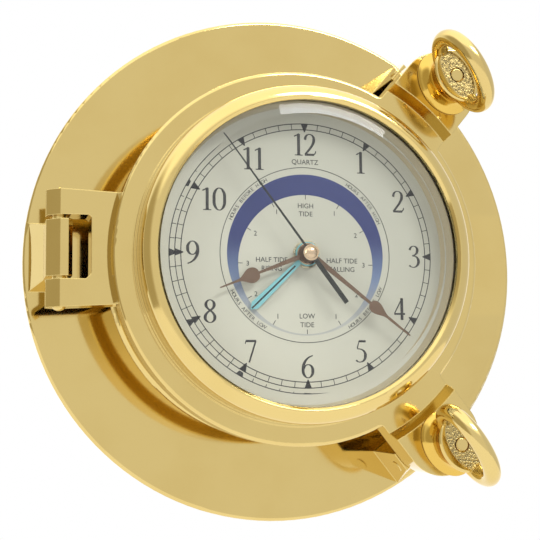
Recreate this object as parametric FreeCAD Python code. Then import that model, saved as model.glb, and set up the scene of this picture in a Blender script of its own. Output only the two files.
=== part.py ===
"""Solid brass porthole tide clock, hung on a wall.

The origin is the centre of the flange's back face, on the wall. +Z is up and the
dial faces -Y, so a depth in front of the wall is a length along -Y. +X is to the
right as the clock is read. All lengths are millimetres.
"""
import FreeCAD, Part
import math
import os

V = FreeCAD.Vector
PLACE = FreeCAD.Placement
TURN = FreeCAD.Rotation

# Shared clearances
running_gap = 0.05
face_gap = 0.3
overrun = 2.0

# Flange and housing wall, one casting
flange_radius = 107.5
flange_thickness = 5.0
flange_edge_round = 1.4
wall_radius = 72.0
wall_bore_radius = 64.0
wall_top = 27.7
wall_foot_round = 2.2
ledge_bore_radius = 58.0
ledge_back = 6.0
ledge_front = 10.0

# Hinge on the left, with an upright pin
hinge_inset = 12.8
hinge_reach = flange_radius - hinge_inset
hinge_depth = 30.0
hinge_rise = 2.2
hinge_pin_radius = 2.6
hinge_pin_dome = 1.2
knuckle_stand = 5.1
knuckle_outer_reach = hinge_reach + knuckle_stand
hinge_block_rise = 2.4
hinge_block_half_height = 11.0
hinge_block_inner_stand = 4.8
hinge_block_inner_reach = hinge_reach - hinge_block_inner_stand
hinge_block_foot_spread = 5.8
hinge_block_foot_reach = knuckle_outer_reach + hinge_block_foot_spread
hinge_block_foot_rise = 1.5
hinge_block_foot_half_height = 14.2
hinge_block_flare_depth = 17.0

# Door casting: ring, raised dome round the glass, hinge leaf and two lugs
door_radius = 75.2
door_edge_round = 1.4
door_face = 40.5
door_step_radius = 67.4
door_step_height = 0.5
door_step_width = 0.8
dome_wall_radius = 66.3
dome_wall_top = 51.5
dome_top = 57.5
dome_crest_width = 1.2
glass_opening_radius = 59.6
door_bore_radius = 61.4
leaf_face = 36.5
leaf_back = 24.0
leaf_swing_gap = 1.3
leaf_half_height = 22.8
leaf_ring_half_height = 21.5
leaf_band_width = 1.8
leaf_window_rise = 2.6
leaf_window_half_height = 12.3
leaf_window_depth = 16.9
leaf_window_reach = knuckle_outer_reach - leaf_window_depth
leaf_corner_chamfer = 2.0
door_open_angle = 110.0

# Lugs that the two ring headed screws pass through
screw_inset = 12.5
screw_reach = flange_radius - screw_inset
upper_lug_angle = 50.0
lower_lug_angle = -52.0
lug_half_width = 15.9
lug_face = 44.5
lug_back = 30.0
lug_slope_foot_stand = 3.8
lug_slope_foot_radius = door_radius + lug_slope_foot_stand
lug_slope_width = 3.0
lug_slope_head_radius = lug_slope_foot_radius + lug_slope_width
lug_end_inset = 3.8
lug_end_reach = screw_reach - lug_end_inset
lug_notch_round = 3.0
lug_edge_chamfer = 0.5

# Ring headed screws, held captive in the lugs
stud_radius = 2.5
stud_tip = 25.0
stud_tip_chamfer = 0.6
screw_travel = 9.0
washer_radius = 8.6
washer_thickness = 1.0
bell_foot_radius = 10.6
bell_foot_edge = 1.2
bell_foot_ledge = 0.6
bell_waist_radius = 7.3
bell_waist_height = 6.6
bell_rim_radius = 8.8
bell_rim_round = 1.0
bell_length_share = 1.3
head_floor = 58.0
head_lip_height = 0.7
head_floor_half_width = 5.4
head_floor_length_share = 1.95
head_eye_recess_radius = 3.0
head_eye_recess_depth = 2.5
ring_centre_depth = 63.3
ring_half_width = 14.8
ring_half_height_share = 0.84
ring_tube_radius = 3.4
upper_ring_turn = 71.5
lower_ring_turn = -6.5
clip_radius = 5.0
clip_thickness = 1.0
clip_groove_share = 0.8

# Clevis blocks on the flange, each with a cross pin and an anchor nut
block_half_width = 16.5
block_inner_stand = 7.0
block_inner_reach = screw_reach - block_inner_stand
block_outer_stand = 1.6
block_top_reach = screw_reach + block_outer_stand
block_foot_spread = 8.8
block_foot_reach = block_top_reach + block_foot_spread
block_top = 29.5
block_slot_half_width = 7.6
block_slot_floor = 12.0
cross_pin_radius = 2.5
cross_pin_depth = 21.3
cross_pin_stand = 0.3
anchor_half_width = 7.3
anchor_inner_stand = 6.0
anchor_inner_reach = screw_reach - anchor_inner_stand
anchor_outer_stand = 4.0
anchor_outer_reach = screw_reach + anchor_outer_stand
anchor_hole_clearance = 0.6
anchor_top = 29.2

# Glass, its seal and the threaded ring that holds it
glass_thickness = 3.6
glass_radius = 63.2
glass_bevel_width = 5.3
glass_bevel_height = 1.5
seal_thickness = 0.8
seal_width = 1.6
retainer_bore_radius = 60.2
retainer_thickness = 4.0
retainer_slot_width = 2.4
retainer_slot_depth = 1.6
retainer_slot_count = 4

# Dial, cup and dial ring
dial_radius = 57.2
dial_thickness = 0.8
dial_face = 44.3
dial_hole_radius = 5.0
cup_stand = 2.2
cup_radius = dial_radius + cup_stand
cup_wall = 1.2
cup_foot_radius = 63.6
cup_foot_thickness = 1.5
cup_lip_bore_radius = 54.0
dial_ring_top_depth = 50.0
dial_ring_edge = 0.4
cup_screw_count = 3
cup_screw_radius = 1.5
cup_screw_head_radius = 2.1
cup_screw_head_height = 1.6
cup_screw_length = 4.0
cup_screw_reach = 61.7

# Back cover and hanger
cover_stand = 4.0
cover_radius = wall_bore_radius + cover_stand
cover_thickness = 1.5
cover_screw_count = 4
cover_screw_inset = 2.0
cover_screw_reach = cover_radius - cover_screw_inset
cover_screw_radius = 1.2
cover_screw_head_radius = 1.8
cover_screw_length = 4.2
cover_access_radius = 10.0
hanger_inset = 21.5
hanger_rise = flange_radius - hanger_inset
hanger_half_length = 17.0
hanger_half_height = 8.0
hanger_thickness = 1.3
hanger_corner = 3.0
hanger_pocket_depth = 4.0
hanger_pocket_half_length = 11.5
keyhole_radius = 4.6
keyhole_slot_radius = 2.3
keyhole_slot_rise = 5.6
hanger_screw_radius = 1.2
hanger_screw_head_radius = 2.0
hanger_screw_head_height = 0.9
hanger_screw_length = 3.4
hanger_screw_reach = 14.2

# Movement: moulded case, lid, battery and electrics
case_half_width = 28.0
case_half_height = 30.0
case_wall = 1.2
case_back = 24.0
case_corner = 4.0
lid_thickness = 1.2
gasket_thickness = 1.0
gasket_radius = 11.0
bush_radius = 4.4
bush_bore_radius = 3.45
bush_stand = 1.0
nut_radius = 5.5
nut_thickness = 0.9
nut_notch_count = 6
battery_radius = 7.2
battery_half_length = 24.6
battery_nub_radius = 2.7
battery_nub_length = 1.0
battery_drop = 21.0
contact_thickness = 0.4
contact_width = 9.0
board_thickness = 1.0
board_width = 20.0
board_height = 13.0
coil_radius = 2.8
coil_length = 12.0
core_radius = 1.0
motor_rise = 22.0
knob_radius = 6.0
knob_height = 3.2
knob_sleeve_radius = 1.3
knob_notch_count = 18

# Hands and their nested arbors, from the outside in
tide_pipe_radius = 3.4
tide_pipe_bore_radius = 2.55
hour_pipe_radius = 2.5
hour_pipe_bore_radius = 1.75
minute_pipe_radius = 1.7
minute_pipe_bore_radius = 0.75
second_arbor_radius = 0.7
hand_thickness = 0.4
tide_hand_height = 1.6
hour_hand_height = 3.0
minute_hand_height = 4.6
second_hand_height = 6.1
tide_hand_length = 31.9
tide_hand_shoulder = 29.6
tide_hand_root_half_width = 0.9
tide_hand_end_half_width = 1.75
tide_hub_radius = 4.8
hour_hand_length = 38.0
hour_hub_radius = 3.9
hour_root_half_width = 1.1
hour_neck_half_width = 0.5
hour_spade_half_width = 3.0
hour_neck_reach = 21.4
hour_spade_reach = 24.9
hour_point_reach = 30.6
minute_hand_length = 52.0
minute_hub_radius = 3.5
minute_root_half_width = 1.15
minute_neck_half_width = 0.55
minute_spade_half_width = 2.4
minute_neck_reach = 31.3
minute_spade_reach = 34.2
minute_point_reach = 41.4
spade_shoulder_share = 0.75
spade_waist_share = 0.5
hand_point_share = 0.5
second_hand_length = 56.5
second_tip_half_width = 0.2
second_root_half_width = 0.45
second_tail_reach = 24.1
second_tail_half_width = 0.95
second_hub_radius = 2.6
cap_radius = 3.15
cap_rim_height = 0.5
cap_dome_radius = 2.5
cap_height = 1.5
tide_hand_angle = 226.5
hour_hand_angle = 248.7
minute_hand_angle = 128.1
second_hand_angle = 323.4

# Wheel train; a wheel's teeth and module set its size
tooth_height_share = 0.85
tooth_root_share = 1.2
tooth_tip_width_share = 0.2
tooth_pitch_width_share = 0.4
tooth_root_width_share = 0.6
wheel_thickness = 0.7
wheel_step = 1.3
train_back = 30.5
cannon_teeth = 12
motion_wheel_teeth = 36
motion_pinion_teeth = 10
hour_wheel_teeth = 40
motion_distance = 12.0
motion_arbor_angle = 65.0
tide_driver_teeth = 57
tide_idler_teeth = 21
tide_wheel_teeth = 59
tide_distance = 15.4
tide_arbor_angle = 150.0
arbor_radius = 0.8


def at(x, depth, z):
    """Point at a depth in front of the wall."""
    return V(x, -depth, z)


def rod(radius, start, end, x=0.0, z=0.0):
    """Round bar along the depth axis, from one depth to another."""
    return Part.makeCylinder(radius, end - start, at(x, start, z), V(0, -1, 0))


def tube(radius, bore, start, end, x=0.0, z=0.0):
    """Round tube along the depth axis."""
    hole = rod(bore, start - overrun, end + overrun, x, z)
    return rod(radius, start, end, x, z).cut(hole)


def block(x0, x1, start, end, z0, z1):
    """Box between two depths."""
    return Part.makeBox(x1 - x0, end - start, z1 - z0, at(x0, end, z0))


def plate(points, start, end):
    """Flat outline of (x, z) points, made solid between two depths."""
    rim = [at(x, start, z) for x, z in points]
    face = Part.Face(Part.makePolygon(rim + rim[:1]))
    return face.extrude(V(0, start - end, 0))


def outline_face(edges):
    """Face inside a closed chain of edges."""
    return Part.Face(Part.Wire(Part.__sortEdges__(edges)))


def line(a, b):
    """Straight edge."""
    return Part.makeLine(a, b)


def arc(a, middle, b):
    """Arc edge through three points."""
    return Part.Arc(a, middle, b).toShape()


def turned(edges):
    """Solid of revolution about the dial axis from edges in the plane z = 0."""
    return outline_face(edges).revolve(V(0, 0, 0), V(0, 1, 0), 360)


def turned_points(points):
    """Solid of revolution from (radius, depth) corners."""
    rim = [at(r, depth, 0) for r, depth in points]
    face = Part.Face(Part.makePolygon(rim + rim[:1]))
    return face.revolve(V(0, 0, 0), V(0, 1, 0), 360)


def corner_arc(centre_r, centre_depth, radius, start_angle, end_angle):
    """Arc in the turning plane; angle 0 points outward and 90 to the front."""
    points = []
    for angle in (start_angle, (start_angle + end_angle) / 2, end_angle):
        a = math.radians(angle)
        points.append(at(centre_r + radius * math.cos(a), centre_depth + radius * math.sin(a), 0))
    return arc(points[0], points[1], points[2])


def swung(shape, angle):
    """Shape turned about the dial axis; its +X comes to this angle above +X."""
    moved = shape.copy()
    moved.rotate(V(0, 0, 0), V(0, 1, 0), -angle)
    return moved


def clockwise(shape, angle):
    """Shape that points up, turned clockwise as seen from the front."""
    moved = shape.copy()
    moved.rotate(V(0, 0, 0), V(0, 1, 0), angle)
    return moved


def moved_to(shape, x, z):
    """Shape shifted in the plane of the dial."""
    copy = shape.copy()
    copy.translate(V(x, 0, z))
    return copy


def spaced(shape, count, first):
    """Copies of a shape, evenly round the dial axis."""
    return [swung(shape, first + 360.0 * i / count) for i in range(count)]


def cut_all(shape, tools):
    """Shape with every tool cut away."""
    for tool in tools:
        shape = shape.cut(tool)
    return shape


def fuse_all(shapes):
    """One solid from overlapping shapes."""
    joined = shapes[0].multiFuse(shapes[1:])
    return joined.removeSplitter()


# Base casting
def clevis_block():
    """One block on the flange, slotted for its anchor nut, along +X."""
    rim = [
        at(block_inner_reach, flange_thickness - overrun, -block_half_width),
        at(block_inner_reach, block_top, -block_half_width),
        at(block_top_reach, block_top, -block_half_width),
        at(block_foot_reach, flange_thickness, -block_half_width),
        at(block_foot_reach, flange_thickness - overrun, -block_half_width),
    ]
    body = Part.Face(Part.makePolygon(rim + rim[:1])).extrude(V(0, 0, 2 * block_half_width))
    slot = block(block_inner_reach - overrun, block_foot_reach + overrun, block_slot_floor,
                 block_top + overrun, -block_slot_half_width, block_slot_half_width)
    pin_hole = Part.makeCylinder(cross_pin_radius, 2 * (block_half_width + overrun),
                                 at(screw_reach, cross_pin_depth, -block_half_width - overrun), V(0, 0, 1))
    return body.cut(slot).cut(pin_hole)


def hinge_block_section(reach, rise, half_height, depth):
    """Wire round the hinge block at one depth."""
    corners = [
        at(-reach, depth, rise - half_height),
        at(-hinge_block_inner_reach, depth, rise - half_height),
        at(-hinge_block_inner_reach, depth, rise + half_height),
        at(-reach, depth, rise + half_height),
    ]
    return Part.makePolygon(corners + corners[:1])


def hinge_block():
    """Block between the knuckles, with a foot that flares to the flange's rim."""
    chamfer = knuckle_outer_reach - hinge_reach
    rim = [
        at(-knuckle_outer_reach, hinge_block_flare_depth, 0),
        at(-knuckle_outer_reach, leaf_face - chamfer, 0),
        at(-hinge_reach, leaf_face, 0),
        at(-hinge_block_inner_reach - chamfer / 3, leaf_face, 0),
        at(-hinge_block_inner_reach, leaf_face - chamfer / 2, 0),
        at(-hinge_block_inner_reach, hinge_block_flare_depth, 0),
    ]
    head = Part.Face(Part.makePolygon(rim + rim[:1])).extrude(V(0, 0, 2 * hinge_block_half_height))
    head.translate(V(0, 0, hinge_block_rise - hinge_block_half_height))
    low = hinge_block_section(hinge_block_foot_reach, hinge_block_foot_rise,
                              hinge_block_foot_half_height, flange_thickness - flange_edge_round)
    high = hinge_block_section(knuckle_outer_reach, hinge_block_rise,
                               hinge_block_half_height, hinge_block_flare_depth)
    foot = Part.makeLoft([low, high], True, True)
    return head.fuse(foot)


def base_casting():
    """Flange, housing wall, inner ledge, hinge block and both clevis blocks."""
    rim_r = flange_radius - flange_edge_round
    rim_depth = flange_thickness - flange_edge_round
    foot_r = wall_radius + wall_foot_round
    foot_depth = flange_thickness + wall_foot_round
    edges = [
        line(at(cover_radius + running_gap, 0, 0), at(flange_radius, 0, 0)),
        line(at(flange_radius, 0, 0), at(flange_radius, rim_depth, 0)),
        corner_arc(rim_r, rim_depth, flange_edge_round, 0, 90),
        line(at(rim_r, flange_thickness, 0), at(foot_r, flange_thickness, 0)),
        corner_arc(foot_r, foot_depth, wall_foot_round, 270, 180),
        line(at(wall_radius, foot_depth, 0), at(wall_radius, wall_top, 0)),
        line(at(wall_radius, wall_top, 0), at(wall_bore_radius, wall_top, 0)),
        line(at(wall_bore_radius, wall_top, 0), at(wall_bore_radius, ledge_front, 0)),
        line(at(wall_bore_radius, ledge_front, 0), at(ledge_bore_radius, ledge_front, 0)),
        line(at(ledge_bore_radius, ledge_front, 0), at(ledge_bore_radius, ledge_back, 0)),
        line(at(ledge_bore_radius, ledge_back, 0), at(wall_bore_radius, ledge_back, 0)),
        line(at(wall_bore_radius, ledge_back, 0), at(wall_bore_radius, cover_thickness, 0)),
        line(at(wall_bore_radius, cover_thickness, 0), at(cover_radius + running_gap, cover_thickness, 0)),
        line(at(cover_radius + running_gap, cover_thickness, 0), at(cover_radius + running_gap, 0, 0)),
    ]
    body = turned(edges)
    parts = [body, hinge_block()]
    for angle in (upper_lug_angle, lower_lug_angle):
        parts.append(swung(clevis_block(), angle))
    casting = fuse_all(parts)
    pin_hole = Part.makeCylinder(hinge_pin_radius, 2 * leaf_half_height,
                                 at(-hinge_reach, hinge_depth, hinge_rise - leaf_half_height), V(0, 0, 1))
    pocket = block(-hanger_pocket_half_length, hanger_pocket_half_length, -overrun, hanger_pocket_depth,
                   hanger_rise - hanger_half_height + hanger_screw_head_radius,
                   hanger_rise + hanger_half_height)
    seat = rounded_slab(hanger_half_length + running_gap, hanger_half_height + running_gap, hanger_corner,
                        -overrun, hanger_thickness, hanger_rise)
    holes = [pin_hole, pocket, seat]
    for reach in (-hanger_screw_reach, hanger_screw_reach):
        holes.append(rod(hanger_screw_radius, 0, hanger_screw_length, reach, hanger_rise))
    screw_hole = rod(cup_screw_radius, ledge_front - cup_screw_length + cup_foot_thickness,
                     ledge_front + overrun, cup_screw_reach)
    holes += spaced(screw_hole, cup_screw_count, 90)
    cover_hole = rod(cover_screw_radius, 0, cover_screw_length, cover_screw_reach)
    holes += spaced(cover_hole, cover_screw_count, 45)
    return cut_all(casting, holes)


def rounded_slab(half_length, half_height, corner, start, end, rise, x=0.0):
    """Slab with rounded corners, centred at a rise above the origin."""
    body = block(x - half_length, x + half_length, start, end, rise - half_height, rise + half_height)
    upright = [e for e in body.Edges if abs(e.tangentAt(e.FirstParameter).y) > 0.9]
    return body.makeFillet(min(corner, 0.9 * half_height), upright)


def hinge_pin():
    """Upright hinge pin with domed ends below and above the knuckles."""
    low = hinge_rise - leaf_half_height
    high = hinge_rise + leaf_half_height
    shaft = Part.makeCylinder(hinge_pin_radius, high - low, at(-hinge_reach, hinge_depth, low), V(0, 0, 1))
    ball_radius = (hinge_pin_radius ** 2 + hinge_pin_dome ** 2) / (2 * hinge_pin_dome)
    ends = []
    for z, side in ((low, -1), (high, 1)):
        centre = at(-hinge_reach, hinge_depth, z + side * (hinge_pin_dome - ball_radius))
        ball = Part.makeSphere(ball_radius, centre)
        bar = Part.makeCylinder(hinge_pin_radius, hinge_pin_dome, at(-hinge_reach, hinge_depth, z), V(0, 0, side))
        ends.append(ball.common(bar))
    return fuse_all([shaft] + ends)


def cross_pin():
    """Pin across a clevis block; its ends show on both sides."""
    half = block_half_width + cross_pin_stand
    pin = Part.makeCylinder(cross_pin_radius, 2 * half, at(screw_reach, cross_pin_depth, -half), V(0, 0, 1))
    return pin.makeChamfer(cross_pin_stand / 2, [e for e in pin.Edges if e.Closed])


def anchor_nut():
    """Nut in the clevis that takes the screw's tip, held by the cross pin."""
    body = block(anchor_inner_reach, anchor_outer_reach, block_slot_floor, anchor_top,
                 -anchor_half_width, anchor_half_width)
    hole_floor = cross_pin_depth + cross_pin_radius
    hole = rod(stud_radius + anchor_hole_clearance, hole_floor, anchor_top + overrun, screw_reach)
    pin_hole = Part.makeCylinder(cross_pin_radius, 2 * anchor_half_width + 2 * overrun,
                                 at(screw_reach, cross_pin_depth, -anchor_half_width - overrun), V(0, 0, 1))
    return body.cut(hole).cut(pin_hole)


# Door casting
def leaf():
    """Hinge leaf with two knuckle arms and the window between them."""
    reach = knuckle_outer_reach
    inner = door_step_radius
    chamfer = reach - hinge_reach
    side = [
        at(-inner, leaf_back, 0),
        at(-inner, leaf_face, 0),
        at(-hinge_reach, leaf_face, 0),
        at(-reach, leaf_face - chamfer, 0),
        at(-reach, leaf_back + chamfer / 2, 0),
        at(-reach + chamfer / 2, leaf_back, 0),
    ]
    bar = Part.Face(Part.makePolygon(side + side[:1])).extrude(V(0, 0, 2 * leaf_half_height))
    bar.translate(V(0, 0, hinge_rise - leaf_half_height))
    taper = plate([
        (-inner, hinge_rise - leaf_ring_half_height),
        (-hinge_reach, hinge_rise - leaf_half_height),
        (-reach, hinge_rise - leaf_half_height),
        (-reach, hinge_rise + leaf_half_height),
        (-hinge_reach, hinge_rise + leaf_half_height),
        (-inner, hinge_rise + leaf_ring_half_height),
    ], leaf_back, leaf_face)
    half = leaf_window_half_height
    notch = leaf_corner_chamfer
    window = plate([
        (-reach - overrun, leaf_window_rise - half),
        (-leaf_window_reach - notch, leaf_window_rise - half),
        (-leaf_window_reach, leaf_window_rise - half + notch),
        (-leaf_window_reach, leaf_window_rise + half - notch / 2),
        (-leaf_window_reach - notch / 2, leaf_window_rise + half),
        (-reach - overrun, leaf_window_rise + half),
    ], leaf_back - overrun, leaf_face + overrun)
    return bar.common(taper).cut(window)


def leaf_band():
    """Sloping band where the leaf rises to the ring's face."""
    edge = door_edge_round
    band = turned_points([
        (door_radius - 2 * edge, leaf_face - edge),
        (door_radius + leaf_band_width, leaf_face - edge),
        (door_radius + leaf_band_width, leaf_face),
        (door_radius - edge / 2, door_face - edge / 4),
        (door_radius - 2 * edge, door_face - edge),
    ])
    keep = block(-door_radius - leaf_band_width - overrun, 0, leaf_back, door_face,
                 hinge_rise - leaf_ring_half_height, hinge_rise + leaf_ring_half_height)
    return band.common(keep)


def lug_outline(radius_in, half_width, end_reach):
    """Flat (x, z) outline edges of a lug: straight sides and a round end, along +X."""
    bow = end_reach + half_width
    a = at(radius_in, 0, -half_width)
    b = at(end_reach, 0, -half_width)
    c = at(bow, 0, 0)
    d = at(end_reach, 0, half_width)
    e = at(radius_in, 0, half_width)
    return [line(a, b), arc(b, c, d), line(d, e), line(e, a)]


def lug():
    """One lug: a flat by the ring, a turned slope, and the raised round end."""
    start = door_step_radius
    body = outline_face(lug_outline(start, lug_half_width, lug_end_reach)).extrude(V(0, -lug_face, 0))
    body = body.cut(block(start - overrun, lug_end_reach + lug_half_width + overrun, -overrun, lug_back,
                          -lug_half_width - overrun, lug_half_width + overrun))
    slope_foot = lug_slope_foot_radius
    slope_head = lug_slope_head_radius
    relief = turned_points([
        (0, door_face),
        (slope_foot, door_face),
        (slope_head, lug_face),
        (slope_head + overrun * (slope_head - slope_foot) / (lug_face - door_face), lug_face + overrun),
        (0, lug_face + overrun),
    ])
    return body.cut(relief)


def lug_notch(side):
    """Hollow fillet where the ring's edge turns into a lug's side."""
    r = lug_notch_round
    ring_r = door_radius - door_edge_round
    centre_z = lug_half_width + r
    centre_x = math.sqrt((ring_r + r) ** 2 - centre_z ** 2)
    touch_x = centre_x * ring_r / (ring_r + r)
    touch_z = centre_z * ring_r / (ring_r + r)
    web = plate([
        (touch_x - r, lug_half_width - r),
        (centre_x, lug_half_width - r),
        (centre_x, lug_half_width),
        (centre_x, centre_z),
        (touch_x, touch_z),
        (touch_x - r, touch_z),
    ], lug_back, door_face)
    web = web.cut(rod(r, lug_back - overrun, door_face + overrun, centre_x, centre_z))
    if side < 0:
        web = web.mirror(V(0, 0, 0), V(0, 0, 1))
    return web


def screw_hole():
    """Hole through a lug for the stud, with the clip's counterbore below."""
    ceiling = lug_back + clip_thickness + screw_travel + face_gap
    hole = rod(stud_radius + running_gap, lug_back - overrun, lug_face + overrun, screw_reach)
    well = rod(clip_radius + face_gap, lug_back - overrun, ceiling, screw_reach)
    return hole.fuse(well)


def door_casting():
    """Ring, dome, leaf and lugs as one casting, open for the glass."""
    back = wall_top + face_gap
    edge = door_edge_round
    dome_round = dome_top - dome_wall_top
    crest_r = glass_opening_radius + dome_crest_width
    step_top = door_face + door_step_height
    rim_r = door_radius - edge
    glass_seat_r = glass_radius + running_gap
    middle = math.radians(45)
    shoulder = at(crest_r + (dome_wall_radius - crest_r) * math.cos(middle),
                  dome_wall_top + dome_round * math.sin(middle), 0)
    edges = [
        line(at(glass_seat_r, back, 0), at(door_radius - edge / 2, back, 0)),
        line(at(door_radius - edge / 2, back, 0), at(door_radius, back + edge / 2, 0)),
        line(at(door_radius, back + edge / 2, 0), at(door_radius, door_face - edge, 0)),
        corner_arc(rim_r, door_face - edge, edge, 0, 90),
        line(at(rim_r, door_face, 0), at(door_step_radius, door_face, 0)),
        line(at(door_step_radius, door_face, 0), at(door_step_radius, step_top, 0)),
        line(at(door_step_radius, step_top, 0), at(dome_wall_radius, step_top, 0)),
        line(at(dome_wall_radius, step_top, 0), at(dome_wall_radius, dome_wall_top, 0)),
        arc(at(dome_wall_radius, dome_wall_top, 0), shoulder, at(crest_r, dome_top, 0)),
        line(at(crest_r, dome_top, 0), at(glass_opening_radius, dome_top - dome_crest_width, 0)),
        line(at(glass_opening_radius, dome_top - dome_crest_width, 0),
             at(glass_opening_radius, glass_front(), 0)),
        line(at(glass_opening_radius, glass_front(), 0), at(glass_seat_r, glass_front(), 0)),
        line(at(glass_seat_r, glass_front(), 0), at(glass_seat_r, back, 0)),
    ]
    ring = turned(edges)
    hinge_leaf = leaf().cut(rod(wall_radius + leaf_swing_gap, leaf_back - overrun, back))
    hinge_leaf = hinge_leaf.cut(rod(door_step_radius, back - overrun, dome_top))
    parts = [ring, hinge_leaf, leaf_band()]
    for angle in (upper_lug_angle, lower_lug_angle):
        parts.append(swung(lug(), angle))
        parts.append(swung(lug_notch(1), angle))
        parts.append(swung(lug_notch(-1), angle))
    casting = fuse_all(parts)
    pin_bore = Part.makeCylinder(hinge_pin_radius + running_gap, 2 * (leaf_half_height + overrun),
                                 at(-hinge_reach, hinge_depth, hinge_rise - leaf_half_height - overrun),
                                 V(0, 0, 1))
    holes = [pin_bore]
    for angle in (upper_lug_angle, lower_lug_angle):
        holes.append(swung(screw_hole(), angle))
    return cut_all(casting, holes)


def glass_front():
    """Depth of the glass's front edge, under the crest's inner lip."""
    return dome_top - dome_crest_width - glass_bevel_height


def glass_back():
    """Depth of the glass's back."""
    return glass_front() - glass_thickness + glass_bevel_height


def window_glass():
    """Bevelled glass; its flat middle stands above the rim by the bevel's height."""
    front = glass_front() - running_gap
    back = glass_back()
    return turned_points([
        (0, back),
        (glass_radius, back),
        (glass_radius, front),
        (glass_opening_radius - running_gap, front),
        (glass_opening_radius - glass_bevel_width, front + glass_bevel_height),
        (0, front + glass_bevel_height),
    ])


def glass_seal():
    """Rubber ring between the glass and the retaining ring."""
    bore = glass_radius - seal_width
    return tube(glass_radius, bore, glass_back() - seal_thickness, glass_back())


def retaining_ring():
    """Ring behind the glass, with spanner slots in its back."""
    front = glass_back() - seal_thickness
    back = front - retainer_thickness
    body = tube(glass_radius, retainer_bore_radius, back, front)
    slot = block(retainer_bore_radius - overrun, glass_radius + overrun, back - overrun,
                 back + retainer_slot_depth, -retainer_slot_width / 2, retainer_slot_width / 2)
    return cut_all(body, spaced(slot, retainer_slot_count, 0))


# Ring headed screws, each in the lug's frame along +X
def thrust_washer():
    """Washer between a screw's bell and its lug."""
    return tube(washer_radius, stud_radius + running_gap, lug_face, lug_face + washer_thickness, screw_reach)


def stretched(shape, share):
    """Shape stretched along X by a share."""
    matrix = FreeCAD.Matrix()
    matrix.scale(share, 1, 1)
    return shape.transformGeometry(matrix)


def head_bell():
    """Oval bell: foot, waist, and a cup with a lip round its floor."""
    foot = lug_face + face_gap
    edge_top = foot + bell_foot_edge
    ledge_r = bell_foot_radius - bell_foot_ledge
    waist_depth = lug_face + bell_waist_height
    lip = head_floor + head_lip_height
    rim_depth = lip - bell_rim_round
    swell = bell_waist_radius
    low_mid = at((ledge_r + 2 * swell) / 3, (edge_top + waist_depth) / 2 - bell_foot_ledge, 0)
    high_mid = at((bell_rim_radius + 3 * swell) / 4, (waist_depth + rim_depth) / 2, 0)
    edges = [
        line(at(0, foot, 0), at(bell_foot_radius, foot, 0)),
        line(at(bell_foot_radius, foot, 0), at(bell_foot_radius, edge_top - bell_foot_ledge, 0)),
        line(at(bell_foot_radius, edge_top - bell_foot_ledge, 0), at(ledge_r, edge_top, 0)),
        arc(at(ledge_r, edge_top, 0), low_mid, at(swell, waist_depth, 0)),
        arc(at(swell, waist_depth, 0), high_mid, at(bell_rim_radius, rim_depth, 0)),
        corner_arc(bell_rim_radius - bell_rim_round, rim_depth, bell_rim_round, 0, 90),
        line(at(bell_rim_radius - bell_rim_round, lip, 0), at(0, lip, 0)),
        line(at(0, lip, 0), at(0, foot, 0)),
    ]
    bell = stretched(turned(edges), bell_length_share)
    floor = stretched(rod(head_floor_half_width, head_floor, lip + overrun), head_floor_length_share)
    return bell.cut(floor)


def head_ring():
    """Oval ring of round section, standing in the plane of the screw's axis."""
    circle = Part.makeCircle(ring_half_width, V(0, 0, 0), V(0, 0, 1))
    matrix = FreeCAD.Matrix()
    matrix.scale(1, ring_half_height_share, 1)
    path = Part.Wire([circle.transformGeometry(matrix)])
    section = Part.Wire([Part.makeCircle(ring_tube_radius, V(ring_half_width, 0, 0), V(0, 1, 0))])
    ring = path.makePipeShell([section], True, True)
    if ring.Volume < 0:
        ring = ring.reversed()
    ring.translate(at(0, ring_centre_depth, 0))
    return ring


def ring_head(turn):
    """Cast head with its bell, ring, and bore for the stud."""
    head = head_bell().fuse(head_ring())
    foot = lug_face
    head = head.cut(rod(stud_radius, foot - overrun, head_floor + overrun))
    head = head.cut(rod(head_eye_recess_radius, head_floor - head_eye_recess_depth, head_floor + overrun))
    seat = lug_face + washer_thickness + running_gap
    head = head.cut(rod(washer_radius + face_gap, foot, seat))
    return moved_to(swung(head, turn), screw_reach, 0)


def stud():
    """Plain stud from the head's floor to the anchor nut."""
    bar = rod(stud_radius, stud_tip, head_floor, screw_reach)
    tip = [e for e in bar.Edges if e.Closed and abs(e.CenterOfMass.y + stud_tip) < running_gap]
    bar = bar.makeChamfer(stud_tip_chamfer, tip)
    groove = tube(stud_radius + running_gap, stud_radius * clip_groove_share, lug_back,
                  lug_back + clip_thickness, screw_reach)
    return bar.cut(groove)


def stop_clip():
    """Spring clip in the stud's groove that keeps the screw in its lug."""
    body = tube(clip_radius, stud_radius * clip_groove_share, lug_back, lug_back + clip_thickness, screw_reach)
    mouth = block(screw_reach, screw_reach + clip_radius + overrun, lug_back - overrun,
                  lug_back + clip_thickness + overrun, -stud_radius / 2, stud_radius / 2)
    return body.cut(mouth)


# Dial and its cup
def dial_plate():
    """Printed dial disc."""
    return tube(dial_radius, dial_hole_radius, dial_face - dial_thickness, dial_face)


def dial_cup():
    """Spun cup that carries the dial in front of the housing's ledge."""
    seat = dial_face - dial_thickness
    foot = ledge_front
    body = turned_points([
        (cup_radius - cup_wall, foot),
        (cup_foot_radius, foot),
        (cup_foot_radius, foot + cup_foot_thickness),
        (cup_radius, foot + cup_foot_thickness),
        (cup_radius, dial_face),
        (dial_radius + running_gap, dial_face),
        (dial_radius + running_gap, seat),
        (cup_lip_bore_radius, seat),
        (cup_lip_bore_radius, seat - cup_wall),
        (cup_radius - cup_wall, seat - cup_wall),
    ])
    hole = rod(cup_screw_radius + running_gap, foot - overrun, foot + cup_foot_thickness + overrun,
               cup_screw_reach)
    return cut_all(body, spaced(hole, cup_screw_count, 90))


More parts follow.
